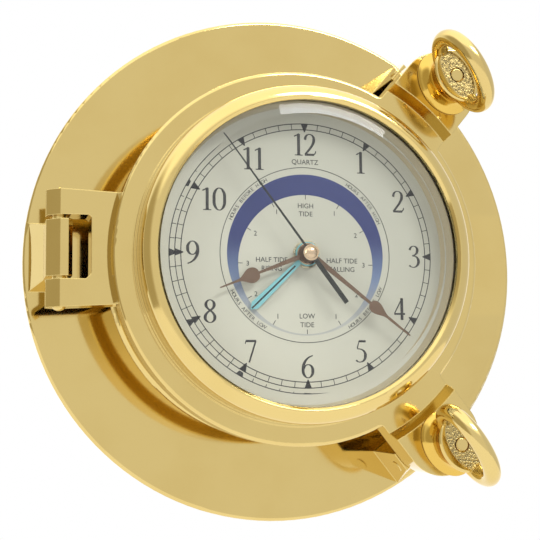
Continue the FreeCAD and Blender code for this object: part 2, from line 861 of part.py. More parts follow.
def dial_ring():
    """Sloping ring that frames the dial under the glass."""
    return turned_points([
        (dial_radius - dial_ring_edge, dial_face),
        (cup_radius, dial_face),
        (cup_radius, dial_ring_top_depth),
        (cup_radius - dial_ring_edge, dial_ring_top_depth),
    ])


def screw(radius, head_radius, head_height, length, seat, x=0.0, z=0.0):
    """Slotted screw driven from the front; its head sits on the seat depth."""
    shank = rod(radius, seat - length, seat, x, z)
    head = rod(head_radius, seat, seat + head_height, x, z)
    slot = block(x - head_radius - overrun, x + head_radius + overrun, seat + head_height / 2,
                 seat + head_height + overrun, z - radius / 4, z + radius / 4)
    return shank.fuse(head).cut(slot).removeSplitter()


def back_screw(radius, head_radius, head_height, length, seat, x=0.0, z=0.0):
    """Countersunk slotted screw driven from the wall side, flush with its seat."""
    shank = rod(radius, seat, seat + length, x, z)
    cone = Part.makeCone(head_radius, radius, head_height, at(x, seat, z), V(0, -1, 0))
    slot = block(x - head_radius - overrun, x + head_radius + overrun, seat - overrun,
                 seat + head_height / 2, z - radius / 4, z + radius / 4)
    return shank.fuse(cone).cut(slot).removeSplitter()


def cup_screws():
    """Screws that hold the cup's foot to the ledge."""
    one = screw(cup_screw_radius, cup_screw_head_radius, cup_screw_head_height, cup_screw_length,
                ledge_front + cup_foot_thickness, cup_screw_reach)
    return spaced(one, cup_screw_count, 90)


def back_cover():
    """Disc that closes the back, flush with the wall, with a hole for air and setting."""
    body = rod(cover_radius, 0, cover_thickness)
    holes = [rod(cover_access_radius, -overrun, cover_thickness + overrun, setting_x(), setting_z())]
    cone = Part.makeCone(cover_screw_head_radius, cover_screw_radius, cover_thickness / 2,
                         at(cover_screw_reach, 0, 0), V(0, -1, 0))
    sink = cone.fuse(rod(cover_screw_radius, -overrun, cover_thickness + overrun, cover_screw_reach))
    return cut_all(body, holes + spaced(sink, cover_screw_count, 45))


def cover_screws():
    """Countersunk screws round the back cover."""
    one = back_screw(cover_screw_radius, cover_screw_head_radius, cover_thickness / 2, cover_screw_length,
                     0, cover_screw_reach)
    return spaced(one, cover_screw_count, 45)


def hanger_plate():
    """Keyhole plate let into the flange's back near the top."""
    body = rounded_slab(hanger_half_length, hanger_half_height, hanger_corner, 0, hanger_thickness, hanger_rise)
    entry_z = hanger_rise - keyhole_slot_rise / 2 + hanger_half_height / 8
    entry = rod(keyhole_radius, -overrun, hanger_thickness + overrun, 0, entry_z)
    slot = block(-keyhole_slot_radius, keyhole_slot_radius, -overrun, hanger_thickness + overrun,
                 entry_z, entry_z + keyhole_slot_rise)
    slot_end = rod(keyhole_slot_radius, -overrun, hanger_thickness + overrun, 0, entry_z + keyhole_slot_rise)
    holes = [entry, slot, slot_end]
    for reach in (-hanger_screw_reach, hanger_screw_reach):
        cone = Part.makeCone(hanger_screw_head_radius, hanger_screw_radius, hanger_screw_head_height,
                             at(reach, 0, hanger_rise), V(0, -1, 0))
        holes.append(cone)
        holes.append(rod(hanger_screw_radius, -overrun, hanger_thickness + overrun, reach, hanger_rise))
    return cut_all(body, holes)


def hanger_screws():
    """Two screws through the keyhole plate."""
    made = []
    for reach in (-hanger_screw_reach, hanger_screw_reach):
        made.append(back_screw(hanger_screw_radius, hanger_screw_head_radius, hanger_screw_head_height,
                               hanger_screw_length, 0, reach, hanger_rise))
    return made


# Movement
def case_front():
    """Depth of the movement case's front, behind the dial's gasket."""
    return dial_face - dial_thickness - gasket_thickness


def movement_case():
    """Open backed moulded case with the threaded centre bush."""
    front = case_front()
    body = rounded_slab(case_half_width, case_half_height, case_corner, case_back, front, 0)
    hollow = rounded_slab(case_half_width - case_wall, case_half_height - case_wall, case_corner - case_wall,
                          case_back - overrun, front - case_wall, 0)
    bush = rod(bush_radius, front - case_wall, dial_face + bush_stand)
    bore = rod(bush_bore_radius, case_back, dial_face + bush_stand + overrun)
    pivot = rod(arbor_radius + running_gap, front - case_wall - overrun, front + overrun, idler_x(), idler_z())
    shell = body.cut(hollow).fuse(bush).cut(bore).cut(pivot)
    cradle = block(-case_half_width + case_wall, case_half_width - case_wall,
                   battery_depth() - battery_radius, front - case_wall,
                   -battery_drop + battery_radius + face_gap,
                   -battery_drop + battery_radius + face_gap + case_wall)
    return shell.fuse(cradle).removeSplitter()


def movement_lid():
    """Lid behind the case, with the knob's hole and two pivot holes."""
    back = case_back - lid_thickness
    body = rounded_slab(case_half_width, case_half_height, case_corner, back, case_back, 0)
    holes = []
    for radius, x, z in ((knob_sleeve_radius, setting_x(), setting_z()), (arbor_radius, idler_x(), idler_z()),
                         (second_arbor_radius, 0, 0)):
        holes.append(rod(radius + running_gap, back - overrun, case_back + overrun, x, z))
    return cut_all(body, holes)


def battery_depth():
    """Depth of the battery's axis inside the case."""
    return case_front() - case_wall - battery_radius - face_gap / 2


def battery():
    """Round cell lying across the bottom of the case."""
    centre = at(-battery_half_length, battery_depth(), -battery_drop)
    body = Part.makeCylinder(battery_radius, 2 * battery_half_length - battery_nub_length, centre, V(1, 0, 0))
    nub = Part.makeCylinder(battery_nub_radius, battery_nub_length,
                            at(battery_half_length - battery_nub_length, battery_depth(), -battery_drop),
                            V(1, 0, 0))
    return body.fuse(nub).removeSplitter()


def battery_contact(side):
    """Spring strip at one end of the battery, against the case's wall."""
    inner = battery_half_length
    outer = case_half_width - case_wall
    half = contact_width / 2
    depth = battery_depth()
    wall_strip = block(outer - contact_thickness, outer, depth - half, depth + half,
                       -battery_drop - half, -battery_drop + half)
    tongue = block(inner, outer - contact_thickness, depth - half, depth - half + contact_thickness,
                   -battery_drop - half / 2, -battery_drop + half / 2)
    press = block(inner, inner + contact_thickness, depth - half, depth + half / 2,
                  -battery_drop - half / 2, -battery_drop + half / 2)
    strip = fuse_all([wall_strip, tongue, press])
    if side < 0:
        strip = strip.mirror(V(0, 0, 0), V(1, 0, 0))
    return strip


def circuit_board():
    """Small board on the lid, above the train."""
    low = case_half_height - case_wall - board_height - face_gap
    x0 = case_corner - case_half_width
    return block(x0, x0 + board_width, case_back, case_back + board_thickness, low, low + board_height)


def motor_coil():
    """Drive coil on its iron core, lying across the board."""
    depth = case_back + board_thickness + coil_radius
    x0 = case_corner - case_half_width + (board_width - coil_length) / 2
    return Part.makeCylinder(coil_radius, coil_length, at(x0, depth, motor_rise), V(1, 0, 0))


def setting_x():
    """Place of the setting arbor to the side of the centre."""
    return motion_distance * math.cos(math.radians(motion_arbor_angle))


def setting_z():
    """Height of the setting arbor above the centre."""
    return motion_distance * math.sin(math.radians(motion_arbor_angle))


def idler_x():
    """Place of the idler to the side of the centre."""
    return tide_distance * math.cos(math.radians(tide_arbor_angle))


def idler_z():
    """Height of the idler above the centre."""
    return tide_distance * math.sin(math.radians(tide_arbor_angle))


def dial_gasket():
    """Rubber washer between the dial and the movement."""
    return tube(gasket_radius, bush_radius + running_gap, case_front(), dial_face - dial_thickness)


def centre_nut():
    """Notched round nut that clamps the movement to the dial."""
    body = tube(nut_radius, bush_radius, dial_face, dial_face + nut_thickness)
    notch = rod((nut_radius - bush_radius) / 2, dial_face - overrun, dial_face + nut_thickness + overrun,
                nut_radius)
    return cut_all(body, spaced(notch, nut_notch_count, 0))


# Wheels
def toothed(teeth, module, start, bore, phase):
    """Toothed wheel about the depth axis; phase in pitches turns its first tooth from up."""
    pitch_r = module * teeth / 2
    tip_r = pitch_r + tooth_height_share * module
    root_r = pitch_r - tooth_root_share * module
    step = 2 * math.pi / teeth
    corners = []
    for i in range(teeth):
        middle = (i + phase) * step
        for radius, share in ((root_r, -tooth_root_width_share), (pitch_r, -tooth_pitch_width_share),
                              (tip_r, -tooth_tip_width_share), (tip_r, tooth_tip_width_share),
                              (pitch_r, tooth_pitch_width_share), (root_r, tooth_root_width_share)):
            a = middle + share * step / 2
            corners.append((radius * math.sin(a), radius * math.cos(a)))
    wheel = plate(corners, start, start + wheel_thickness)
    if bore > 0:
        wheel = wheel.cut(rod(bore, start - overrun, start + wheel_thickness + overrun))
    return wheel


def layer(index):
    """Depth at which a wheel layer starts."""
    return train_back + index * wheel_step


def mesh_phase(teeth, angle, driver_teeth, driver_phase):
    """Phase that puts a gap of this wheel on the driver's tooth along the centre line.

    The angle is the clock angle from the driver's centre to this wheel's centre.
    """
    towards = math.radians(angle) * driver_teeth / (2 * math.pi) - driver_phase
    back = math.radians(angle + 180) * teeth / (2 * math.pi)
    return back + towards + 0.5


def arbor_clock_angle(angle):
    """Clock angle, from up, of a direction given as an angle above +X."""
    return 90.0 - angle


def motion_arbor():
    """Motion wheel and pinion that reduce the minute arbor's turns for the hour wheel."""
    module_low = 2 * motion_distance / (cannon_teeth + motion_wheel_teeth)
    module_high = 2 * motion_distance / (motion_pinion_teeth + hour_wheel_teeth)
    clock = arbor_clock_angle(motion_arbor_angle)
    phase = mesh_phase(motion_wheel_teeth, clock, cannon_teeth, 0)
    wheel = toothed(motion_wheel_teeth, module_low, layer(1), 0, phase)
    pinion = toothed(motion_pinion_teeth, module_high, layer(2), 0, 0)
    end = layer(2) + wheel_thickness
    shaft = rod(arbor_radius, knob_top() - knob_height / 2, end + face_gap)
    collar = rod(arbor_radius * 2, layer(1), end)
    arbor = fuse_all([wheel, pinion, shaft, collar])
    return moved_to(arbor, setting_x(), setting_z())


def hour_pipe():
    """Hour wheel, the tide driver wheel and the pipe that carries the hour hand."""
    module_high = 2 * motion_distance / (motion_pinion_teeth + hour_wheel_teeth)
    module_tide = 2 * tide_distance / (tide_driver_teeth + tide_idler_teeth)
    clock = arbor_clock_angle(motion_arbor_angle)
    phase = mesh_phase(hour_wheel_teeth, clock + 180, motion_pinion_teeth, 0)
    wheel = toothed(hour_wheel_teeth, module_high, layer(2), hour_pipe_bore_radius, phase)
    driver = toothed(tide_driver_teeth, module_tide, layer(3), hour_pipe_bore_radius, 0)
    pipe = tube(hour_pipe_radius, hour_pipe_bore_radius, layer(2), hand_seat(hour_hand_height) + hand_thickness)
    return fuse_all([wheel, driver, pipe])


def tide_idler():
    """Idler with two toothed rims between the tide driver and the tide wheel."""
    module_low = 2 * tide_distance / (tide_driver_teeth + tide_idler_teeth)
    module_high = 2 * tide_distance / (tide_wheel_teeth + tide_idler_teeth)
    clock = arbor_clock_angle(tide_arbor_angle)
    phase = mesh_phase(tide_idler_teeth, clock, tide_driver_teeth, 0)
    low = toothed(tide_idler_teeth, module_low, layer(3), 0, phase)
    high = toothed(tide_idler_teeth, module_high, layer(4), 0, 0)
    shaft = rod(arbor_radius, case_back - lid_thickness + face_gap, case_front() - face_gap)
    collar = rod(arbor_radius * 2, layer(3), layer(4) + wheel_thickness)
    idler = fuse_all([low, high, shaft, collar])
    return moved_to(idler, idler_x(), idler_z())


def tide_pipe():
    """Tide wheel and the outermost pipe, which carries the tide hand."""
    module_high = 2 * tide_distance / (tide_wheel_teeth + tide_idler_teeth)
    clock = arbor_clock_angle(tide_arbor_angle)
    phase = mesh_phase(tide_wheel_teeth, clock + 180, tide_idler_teeth, 0)
    wheel = toothed(tide_wheel_teeth, module_high, layer(4), tide_pipe_bore_radius, phase)
    pipe = tube(tide_pipe_radius, tide_pipe_bore_radius, layer(4), hand_seat(tide_hand_height) + hand_thickness)
    return fuse_all([wheel, pipe])


def minute_arbor():
    """Cannon pinion and the pipe that carries the minute hand."""
    module_low = 2 * motion_distance / (cannon_teeth + motion_wheel_teeth)
    pinion = toothed(cannon_teeth, module_low, layer(1), minute_pipe_bore_radius, 0)
    drum = tube(hour_pipe_radius, minute_pipe_bore_radius, layer(0), layer(1))
    pipe = tube(minute_pipe_radius, minute_pipe_bore_radius, layer(0),
                hand_seat(minute_hand_height) + hand_thickness)
    return fuse_all([pinion, drum, pipe])


def second_arbor():
    """Thin arbor through the middle, with its wheel at the back."""
    foot = case_back - lid_thickness + face_gap
    shaft = rod(second_arbor_radius, foot, hand_seat(second_hand_height) + hand_thickness)
    disc = rod(motion_distance / 3, layer(-1), layer(-1) + wheel_thickness)
    return shaft.fuse(disc).removeSplitter()


def knob_top():
    """Depth of the setting knob's face, behind the lid."""
    return case_back - lid_thickness - face_gap


def setting_knob():
    """Notched knob with a sleeve through the lid, pressed on the setting arbor."""
    top = knob_top()
    x = setting_x()
    z = setting_z()
    knob = rod(knob_radius, top - knob_height, top, x, z)
    sleeve = rod(knob_sleeve_radius, top, case_back + face_gap, x, z)
    tools = [rod(arbor_radius, top - knob_height / 2, case_back + overrun, x, z)]
    for i in range(knob_notch_count):
        a = 2 * math.pi * i / knob_notch_count
        tools.append(rod(knob_radius / 10, top - knob_height - overrun, top + overrun,
                         x + knob_radius * math.cos(a), z + knob_radius * math.sin(a)))
    return cut_all(knob.fuse(sleeve), tools).removeSplitter()


# Hands, drawn pointing up
def hand_seat(height):
    """Depth of a hand's back, from its height above the dial."""
    return dial_face + height


def curve(points, seat):
    """Smooth edge through (x, z) points at one depth."""
    spline = Part.BSplineCurve()
    spline.interpolate([at(x, seat, z) for x, z in points])
    return spline.toShape()


def spade_hand(length, root, neck, blade, neck_reach, blade_reach, point_reach, hub, bore, seat):
    """Spade hand: tapering stem, round blade and drawn-out point."""
    top = seat + hand_thickness
    fine = neck * hand_point_share
    shoulder = neck_reach + (blade_reach - neck_reach) / 4
    waist = (blade_reach + point_reach) / 2
    right = [
        (neck, neck_reach),
        (blade * spade_shoulder_share, shoulder),
        (blade, blade_reach),
        (blade * spade_waist_share, waist),
        (neck, point_reach),
    ]
    left = [(-x, z) for x, z in right]
    flat = outline_face([
        line(at(-root, seat, 0), at(root, seat, 0)),
        line(at(root, seat, 0), at(neck, seat, neck_reach)),
        curve(right, seat),
        line(at(neck, seat, point_reach), at(fine, seat, length)),
        line(at(fine, seat, length), at(-fine, seat, length)),
        line(at(-fine, seat, length), at(-neck, seat, point_reach)),
        curve(left, seat),
        line(at(-neck, seat, neck_reach), at(-root, seat, 0)),
    ])
    hand = flat.extrude(V(0, seat - top, 0)).fuse(rod(hub, seat, top)).removeSplitter()
    return hand.cut(rod(bore, seat - overrun, top + overrun))


def hour_hand():
    """Hour hand at the time shown."""
    hand = spade_hand(hour_hand_length, hour_root_half_width, hour_neck_half_width, hour_spade_half_width,
                      hour_neck_reach, hour_spade_reach, hour_point_reach, hour_hub_radius,
                      hour_pipe_radius, hand_seat(hour_hand_height))
    return clockwise(hand, hour_hand_angle)


def minute_hand():
    """Minute hand at the time shown."""
    hand = spade_hand(minute_hand_length, minute_root_half_width, minute_neck_half_width,
                      minute_spade_half_width, minute_neck_reach, minute_spade_reach, minute_point_reach,
                      minute_hub_radius, minute_pipe_radius, hand_seat(minute_hand_height))
    return clockwise(hand, minute_hand_angle)


def tide_hand():
    """Tide hand that widens to a short point."""
    seat = hand_seat(tide_hand_height)
    top = seat + hand_thickness
    root = tide_hand_root_half_width
    end = tide_hand_end_half_width
    blade = plate([(-root, 0), (root, 0), (end, tide_hand_shoulder), (0, tide_hand_length),
                   (-end, tide_hand_shoulder)], seat, top)
    hand = fuse_all([blade, rod(tide_hub_radius, seat, top)])
    hand = hand.cut(rod(tide_pipe_radius, seat - overrun, top + overrun))
    return clockwise(hand, tide_hand_angle)


def second_hand():
    """Thin second hand with a bar for a counterweight."""
    seat = hand_seat(second_hand_height)
    top = seat + hand_thickness
    root = second_root_half_width
    tip = second_tip_half_width
    tail = second_tail_half_width
    needle = plate([(-root, 0), (root, 0), (tip, second_hand_length), (-tip, second_hand_length)], seat, top)
    bar = plate([(-tail, -second_tail_reach), (tail, -second_tail_reach), (tail, 0), (-tail, 0)], seat, top)
    hand = fuse_all([needle, bar, rod(second_hub_radius, seat, top)])
    hand = hand.cut(rod(second_arbor_radius, seat - overrun, top + overrun))
    return clockwise(hand, second_hand_angle)


def second_cap():
    """Domed cap over the second hand's hub."""
    seat = hand_seat(second_hand_height) + hand_thickness
    rim = rod(cap_radius, seat, seat + cap_rim_height)
    rise = cap_height - cap_rim_height
    ball_radius = (cap_dome_radius ** 2 + rise ** 2) / (2 * rise)
    ball = Part.makeSphere(ball_radius, at(0, seat + cap_height - ball_radius, 0))
    dome = ball.common(rod(cap_dome_radius, seat, seat + cap_height))
    return rim.fuse(dome).removeSplitter()


def save(name, shape):
    """Write one node as a STEP file; a list of solids becomes a group."""
    if isinstance(shape, list):
        shape = Part.makeCompound(shape)
    shape.exportStep("parts/" + name + ".step")


def main():
    """Build every node."""
    os.makedirs("parts", exist_ok=True)
    save("base_casting", base_casting())
    save("hinge_pin", hinge_pin())
    save("back_cover", back_cover())
    save("back_cover_screws", cover_screws())
    save("hanger_plate", hanger_plate())
    save("hanger_screws", hanger_screws())
    save("dial_cup", dial_cup())
    save("dial_cup_screws", cup_screws())
    save("dial_plate", dial_plate())
    save("dial_ring", dial_ring())
    save("dial_gasket", dial_gasket())
    save("centre_nut", centre_nut())
    save("movement_case", movement_case())
    save("movement_lid", movement_lid())
    save("battery", battery())
    save("battery_contact_plus", battery_contact(1))
    save("battery_contact_minus", battery_contact(-1))
    save("circuit_board", circuit_board())
    save("motor_coil", motor_coil())
    save("motion_wheel", motion_arbor())
    save("tide_idler", tide_idler())
    save("hour_pipe", hour_pipe())
    save("tide_pipe", tide_pipe())
    save("minute_arbor", minute_arbor())
    save("second_arbor", second_arbor())
    save("setting_knob", setting_knob())
    save("hour_hand", hour_hand())
    save("minute_hand", minute_hand())
    save("tide_hand", tide_hand())
    save("second_hand", second_hand())
    save("second_cap", second_cap())
    save("door_casting", door_casting())
    save("window_glass", window_glass())
    save("glass_seal", glass_seal())
    save("glass_retaining_ring", retaining_ring())
    for side, angle, turn in (("upper", upper_lug_angle, upper_ring_turn),
                              ("lower", lower_lug_angle, lower_ring_turn)):
        save(side + "_cross_pin", swung(cross_pin(), angle))
        save(side + "_anchor_nut", swung(anchor_nut(), angle))
        save(side + "_washer", swung(thrust_washer(), angle))
        save(side + "_ring_head", swung(ring_head(turn), angle))
        save(side + "_stud", swung(stud(), angle))
        save(side + "_stop_clip", swung(stop_clip(), angle))


main()
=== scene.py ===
"""Looks of the porthole tide clock: finishes, printed dial and studio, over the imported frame.

Lengths are metres in the frame's own axes: +Z up, +X to the right as the dial is read,
and the dial faces -Y. Printed work is drawn flat, reading along +X and up +Y, and is
then stood up on the dial's face.
"""
import logging
import math
from dataclasses import dataclass, field
from enum import Enum

import bpy  # noqa: E402
from mathutils import Matrix, Vector  # noqa: E402


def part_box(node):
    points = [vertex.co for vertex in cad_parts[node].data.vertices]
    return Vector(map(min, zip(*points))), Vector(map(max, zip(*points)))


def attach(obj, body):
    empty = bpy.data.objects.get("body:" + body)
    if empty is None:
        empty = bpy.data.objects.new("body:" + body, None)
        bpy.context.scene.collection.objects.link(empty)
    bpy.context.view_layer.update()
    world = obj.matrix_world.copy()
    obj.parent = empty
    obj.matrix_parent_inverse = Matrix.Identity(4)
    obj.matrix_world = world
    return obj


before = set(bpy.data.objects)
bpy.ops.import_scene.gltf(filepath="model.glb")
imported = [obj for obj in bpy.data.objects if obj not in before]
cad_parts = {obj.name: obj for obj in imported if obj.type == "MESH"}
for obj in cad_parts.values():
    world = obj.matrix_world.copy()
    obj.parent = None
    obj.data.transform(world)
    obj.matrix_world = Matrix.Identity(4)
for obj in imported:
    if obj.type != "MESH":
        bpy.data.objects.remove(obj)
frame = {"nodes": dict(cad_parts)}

LOG = logging.getLogger("tide_clock")
MM = 0.001
Tree, Node, Socket = bpy.types.NodeTree, bpy.types.Node, bpy.types.NodeSocket
Piece, Material = bpy.types.Object, bpy.types.Material
Pair, Triple = tuple[float, float], tuple[float, float, float]
BRASS, DULL_BRASS = (0.66, 0.51, 0.19), (0.58, 0.42, 0.13)


class Slot(Enum):
    """Names of material slots; nothing in the script uses them."""

    BLACK_INK = "black_ink"
    NAVY_INK = "navy_ink"
    HAND_BLACK = "hand_black"
    SPUN_BRASS = "spun_brass"


class Body(Enum):
    """Bodies of the frame that new pieces ride on."""

    BASE = "base"
    TIDE = "tide"


# Shader helpers
def link(source: Socket, target: Socket) -> None:
    """Join two sockets of one tree."""
    source.id_data.links.new(source, target)


def set_inputs(node: Node, values: dict[str, object]) -> None:
    """Set a node's inputs by their names."""
    for name, value in values.items():
        node.inputs[name].default_value = value


def add_node(tree: Tree, kind: str, **settings: object) -> Node:
    """Add a shader node of a kind, such as Math, and set its properties."""
    node = tree.nodes.new("ShaderNode" + kind)
    for name, value in settings.items():
        setattr(node, name, value)
    return node


def math_node(operation: str, first: Socket, second: object = 0.0) -> Socket:
    """Add a math node on a socket and a socket or number."""
    node = add_node(first.id_data, "Math", operation=operation)
    for socket, value in zip(node.inputs, (first, second)):
        if isinstance(value, Socket):
            link(value, socket)
        else:
            socket.default_value = value
    return node.outputs[0]


def plus_share(base: Socket, value: Socket, share: object) -> Socket:
    """Return base plus value times share."""
    return math_node("ADD", base, math_node("MULTIPLY", value, share))


def vector_math(operation: str, first: Socket, second: Socket | None = None) -> Socket:
    """Add a vector math node; a second socket scales the first, or is added to it."""
    node = add_node(first.id_data, "VectorMath", operation=operation)
    link(first, node.inputs[0])
    if second is not None:
        link(second, node.inputs["Scale"] if operation == "SCALE" else node.inputs[1])
    return node.outputs["Value"] if operation == "LENGTH" else node.outputs[0]


def split_axes(tree: Tree, vector: Socket | None = None) -> Node:
    """Add a node that splits a vector, or else the Object coordinates, into X, Y and Z."""
    split = add_node(tree, "SeparateXYZ")
    if vector is None:
        vector = add_node(tree, "TexCoord").outputs["Object"]
    link(vector, split.inputs[0])
    return split


def mix_colour(factor: Socket, first: object, second: object) -> Socket:
    """Add a mix of two sockets or colours."""
    node = add_node(factor.id_data, "Mix", data_type="RGBA")
    for name, value in (("Factor_Float", factor), ("A_Color", first), ("B_Color", second)):
        socket = next(s for s in node.inputs if s.identifier == name)
        if isinstance(value, Socket):
            link(value, socket)
        else:
            socket.default_value = (*value[:3], 1.0)
    return next(s for s in node.outputs if s.identifier == "Result_Color")


def ramp(value: Socket, low: float, high: float) -> Socket:
    """Map a value from low to high onto 0 to 1, smoothly and clamped."""
    node = add_node(value.id_data, "MapRange", interpolation_type="SMOOTHSTEP")
    link(value, node.inputs["Value"])
    set_inputs(node, {"From Min": low, "From Max": high})
    return node.outputs["Result"]


def noise(vector: Socket, scale: float, detail: float = 3.0, rough: float = 0.5) -> Socket:
    """Add a noise texture."""
    node = add_node(vector.id_data, "TexNoise")
    set_inputs(node, {"Scale": scale, "Detail": detail, "Roughness": rough})
    link(vector, node.inputs["Vector"])
    return node.outputs["Fac"]


def new_group(name: str, inputs: dict[str, object], outputs: dict[str, str]) -> Tree:
    """Make an empty shader group; a tuple makes a colour input, or a vector if it is named Vector."""
    tree = bpy.data.node_groups.new(name, "ShaderNodeTree")
    for label, value in inputs.items():
        kind = "NodeSocketFloat"
        if isinstance(value, tuple):
            kind = "NodeSocketVector" if label == "Vector" else "NodeSocketColor"
        socket = tree.interface.new_socket(name=label, in_out="INPUT", socket_type=kind)
        socket.default_value = value
    for label, kind in outputs.items():
        tree.interface.new_socket(name=label, in_out="OUTPUT", socket_type=kind)
    tree.nodes.new("NodeGroupInput")
    tree.nodes.new("NodeGroupOutput")
    return tree


def group_ends(tree: Tree) -> tuple[Node, Node]:
    """Return a group's input and output nodes."""
    return tree.nodes["Group Input"], tree.nodes["Group Output"]


class Effects:
    """Shader node groups that more than one finish uses. Cells are counted in a metre."""

    CLOUD_CELLS, LINE_CELLS, SMEAR_CELLS, WAVE_CELLS = 38.0, 2600.0, 160.0, 30.0
    CLOUD_EDGES = (0.38, 0.72)
    LINE_STRETCH, LINE_SHARE, WAVE_SHARE = 0.3, 0.5, 6.0
    BROAD_CELLS, BROAD_SHARE = 45.0, 0.5
    PIT_EDGES, LUMP_CELLS = (0.1, 0.7), 700.0
    HINGE_RISE, HINGE_EDGES = 2.0 * MM, (19.0 * MM, 24.0 * MM)
    DISH_RIM, DISH_FACING = (108.0 * MM, 104.0 * MM), (-0.97, -0.995)

    def __init__(self) -> None:
        """Build each group once."""
        self.polish = self._polish()
        self.grain = self._grain()
        self.moulding = self._moulding()
        self.dish = self._dish()

    def _polish(self) -> Tree:
        """Build the hand-polished metal effect."""
        tree = new_group("hand_polish",
                         {"Vector": (0.0, 0.0, 0.0), "Colour": (0.8, 0.6, 0.3, 1.0),
                          "Tarnish": (0.7, 0.45, 0.15, 1.0), "Tarnish amount": 0.25, "Roughness low": 0.08,
                          "Roughness high": 0.16},
                         {"Colour": "NodeSocketColor", "Roughness": "NodeSocketFloat",
                          "Height": "NodeSocketFloat"})
        start, end = group_ends(tree)
        vector = start.outputs["Vector"]
        clouds = ramp(noise(vector, self.CLOUD_CELLS), *self.CLOUD_EDGES)
        amount = math_node("MULTIPLY", clouds, start.outputs["Tarnish amount"])
        colour = mix_colour(amount, start.outputs["Colour"], start.outputs["Tarnish"])
        split = split_axes(tree, vector)
        squares = [math_node("POWER", split.outputs[axis], 2.0) for axis in ("X", "Z")]
        radius = math_node("SQRT", math_node("ADD", squares[0], squares[1]))
        rings = add_node(tree, "CombineXYZ")
        link(radius, rings.inputs["X"])
        link(math_node("MULTIPLY", split.outputs["Y"], self.LINE_STRETCH), rings.inputs["Y"])
        lines = noise(rings.outputs[0], self.LINE_CELLS, 2.0, 0.6)
        smears = noise(vector, self.SMEAR_CELLS, 4.0, 0.6)
        spread = math_node("SUBTRACT", start.outputs["Roughness high"], start.outputs["Roughness low"])
        rough = plus_share(start.outputs["Roughness low"], smears, spread)
        height = plus_share(math_node("MULTIPLY", lines, self.LINE_SHARE),
                            noise(vector, self.WAVE_CELLS, 1.0), self.WAVE_SHARE)
        link(colour, end.inputs["Colour"])
        link(rough, end.inputs["Roughness"])
        link(height, end.inputs["Height"])
        return tree

    def _grain(self) -> Tree:
        """Build the fine grain of print, paint and rubber."""
        tree = new_group("fine_grain",
                         {"Vector": (0.0, 0.0, 0.0), "Colour": (0.5, 0.5, 0.5, 1.0), "Shade": 0.06,
                          "Scale": 1200.0},
                         {"Colour": "NodeSocketColor", "Height": "NodeSocketFloat"})
        start, end = group_ends(tree)
        fine = add_node(tree, "TexNoise")
        link(start.outputs["Vector"], fine.inputs["Vector"])
        link(start.outputs["Scale"], fine.inputs["Scale"])
        set_inputs(fine, {"Detail": 3.0})
        broad = noise(start.outputs["Vector"], self.BROAD_CELLS, 2.0)
        mixed = plus_share(math_node("MULTIPLY", fine.outputs["Fac"], 1 - self.BROAD_SHARE),
                           broad, self.BROAD_SHARE)
        factor = math_node("MULTIPLY", mixed, start.outputs["Shade"])
        link(mix_colour(factor, start.outputs["Colour"], (0.0, 0.0, 0.0)), end.inputs["Colour"])
        link(fine.outputs["Fac"], end.inputs["Height"])
        return tree

    def _moulding(self) -> Tree:
        """Build the pebbled skin of sand casting and moulded plastic."""
        tree = new_group("pebble_skin", {"Vector": (0.0, 0.0, 0.0), "Scale": 900.0},
                         {"Pits": "NodeSocketFloat", "Height": "NodeSocketFloat"})
        start, end = group_ends(tree)
        cells = add_node(tree, "TexVoronoi")
        link(start.outputs["Vector"], cells.inputs["Vector"])
        link(start.outputs["Scale"], cells.inputs["Scale"])
        pits = ramp(cells.outputs["Distance"], *self.PIT_EDGES)
        lumps = noise(start.outputs["Vector"], self.LUMP_CELLS, 4.0, 0.65)
        link(pits, end.inputs["Pits"])
        link(math_node("ADD", pits, lumps), end.inputs["Height"])
        return tree

    def _dish(self) -> Tree:
        """Build the shallow dish of the hand-buffed flange."""
        tree = new_group("buffed_dish", {"Vector": (0.0, 0.0, 0.0), "Slope": -0.022, "Lean": 0.115,
                                          "Front": -0.0057}, {"Normal": "NodeSocketVector"})
        tree.interface.new_socket(name="Normal", in_out="INPUT", socket_type="NodeSocketVector")
        start, end = group_ends(tree)
        split = split_axes(tree, start.outputs["Vector"])
        flat, lean = (add_node(tree, "CombineXYZ") for _ in range(2))
        link(split.outputs["X"], flat.inputs["X"])
        link(split.outputs["Z"], flat.inputs["Z"])
        link(start.outputs["Lean"], lean.inputs["X"])
        outward = vector_math("NORMALIZE", flat.outputs[0])
        tip = vector_math("SCALE", outward, start.outputs["Slope"])
        tip = vector_math("ADD", tip, lean.outputs[0])
        facing = split_axes(tree, start.outputs["Normal"])
        share = math_node("GREATER_THAN", split.outputs["Y"], start.outputs["Front"])
        stand = math_node("ABSOLUTE", math_node("SUBTRACT", split.outputs["Z"], self.HINGE_RISE))
        for value, edges in ((facing.outputs["Y"], self.DISH_FACING), (stand, self.HINGE_EDGES),
                             (vector_math("LENGTH", flat.outputs[0]), self.DISH_RIM)):
            share = math_node("MULTIPLY", share, ramp(value, *edges))
        total = vector_math("ADD", start.outputs["Normal"], vector_math("SCALE", tip, share))
        link(vector_math("NORMALIZE", total), end.inputs["Normal"])
        return tree


def new_material(name: str) -> tuple[Material, Tree, Node]:
    """Make a node material."""
    material = bpy.data.materials.new(name)
    material.use_nodes = True
    tree = material.node_tree
    return material, tree, tree.nodes["Principled BSDF"]


def mix_shaders(tree: Tree, factor: Socket, first: Socket, second: Socket) -> None:
    """Mix two shaders and send the result to the material's output."""
    mix = add_node(tree, "MixShader")
    for source, target in zip((factor, first, second), mix.inputs):
        link(source, target)
    link(mix.outputs[0], tree.nodes["Material Output"].inputs["Surface"])


def place_group(tree: Tree, group: Tree, values: dict[str, object]) -> Node:
    """Place an effect in a material, read at Object coordinates."""
    node = add_node(tree, "Group", node_tree=group)
    coords = add_node(tree, "TexCoord")
    link(coords.outputs["Object"], node.inputs["Vector"])
    set_inputs(node, values)
    return node


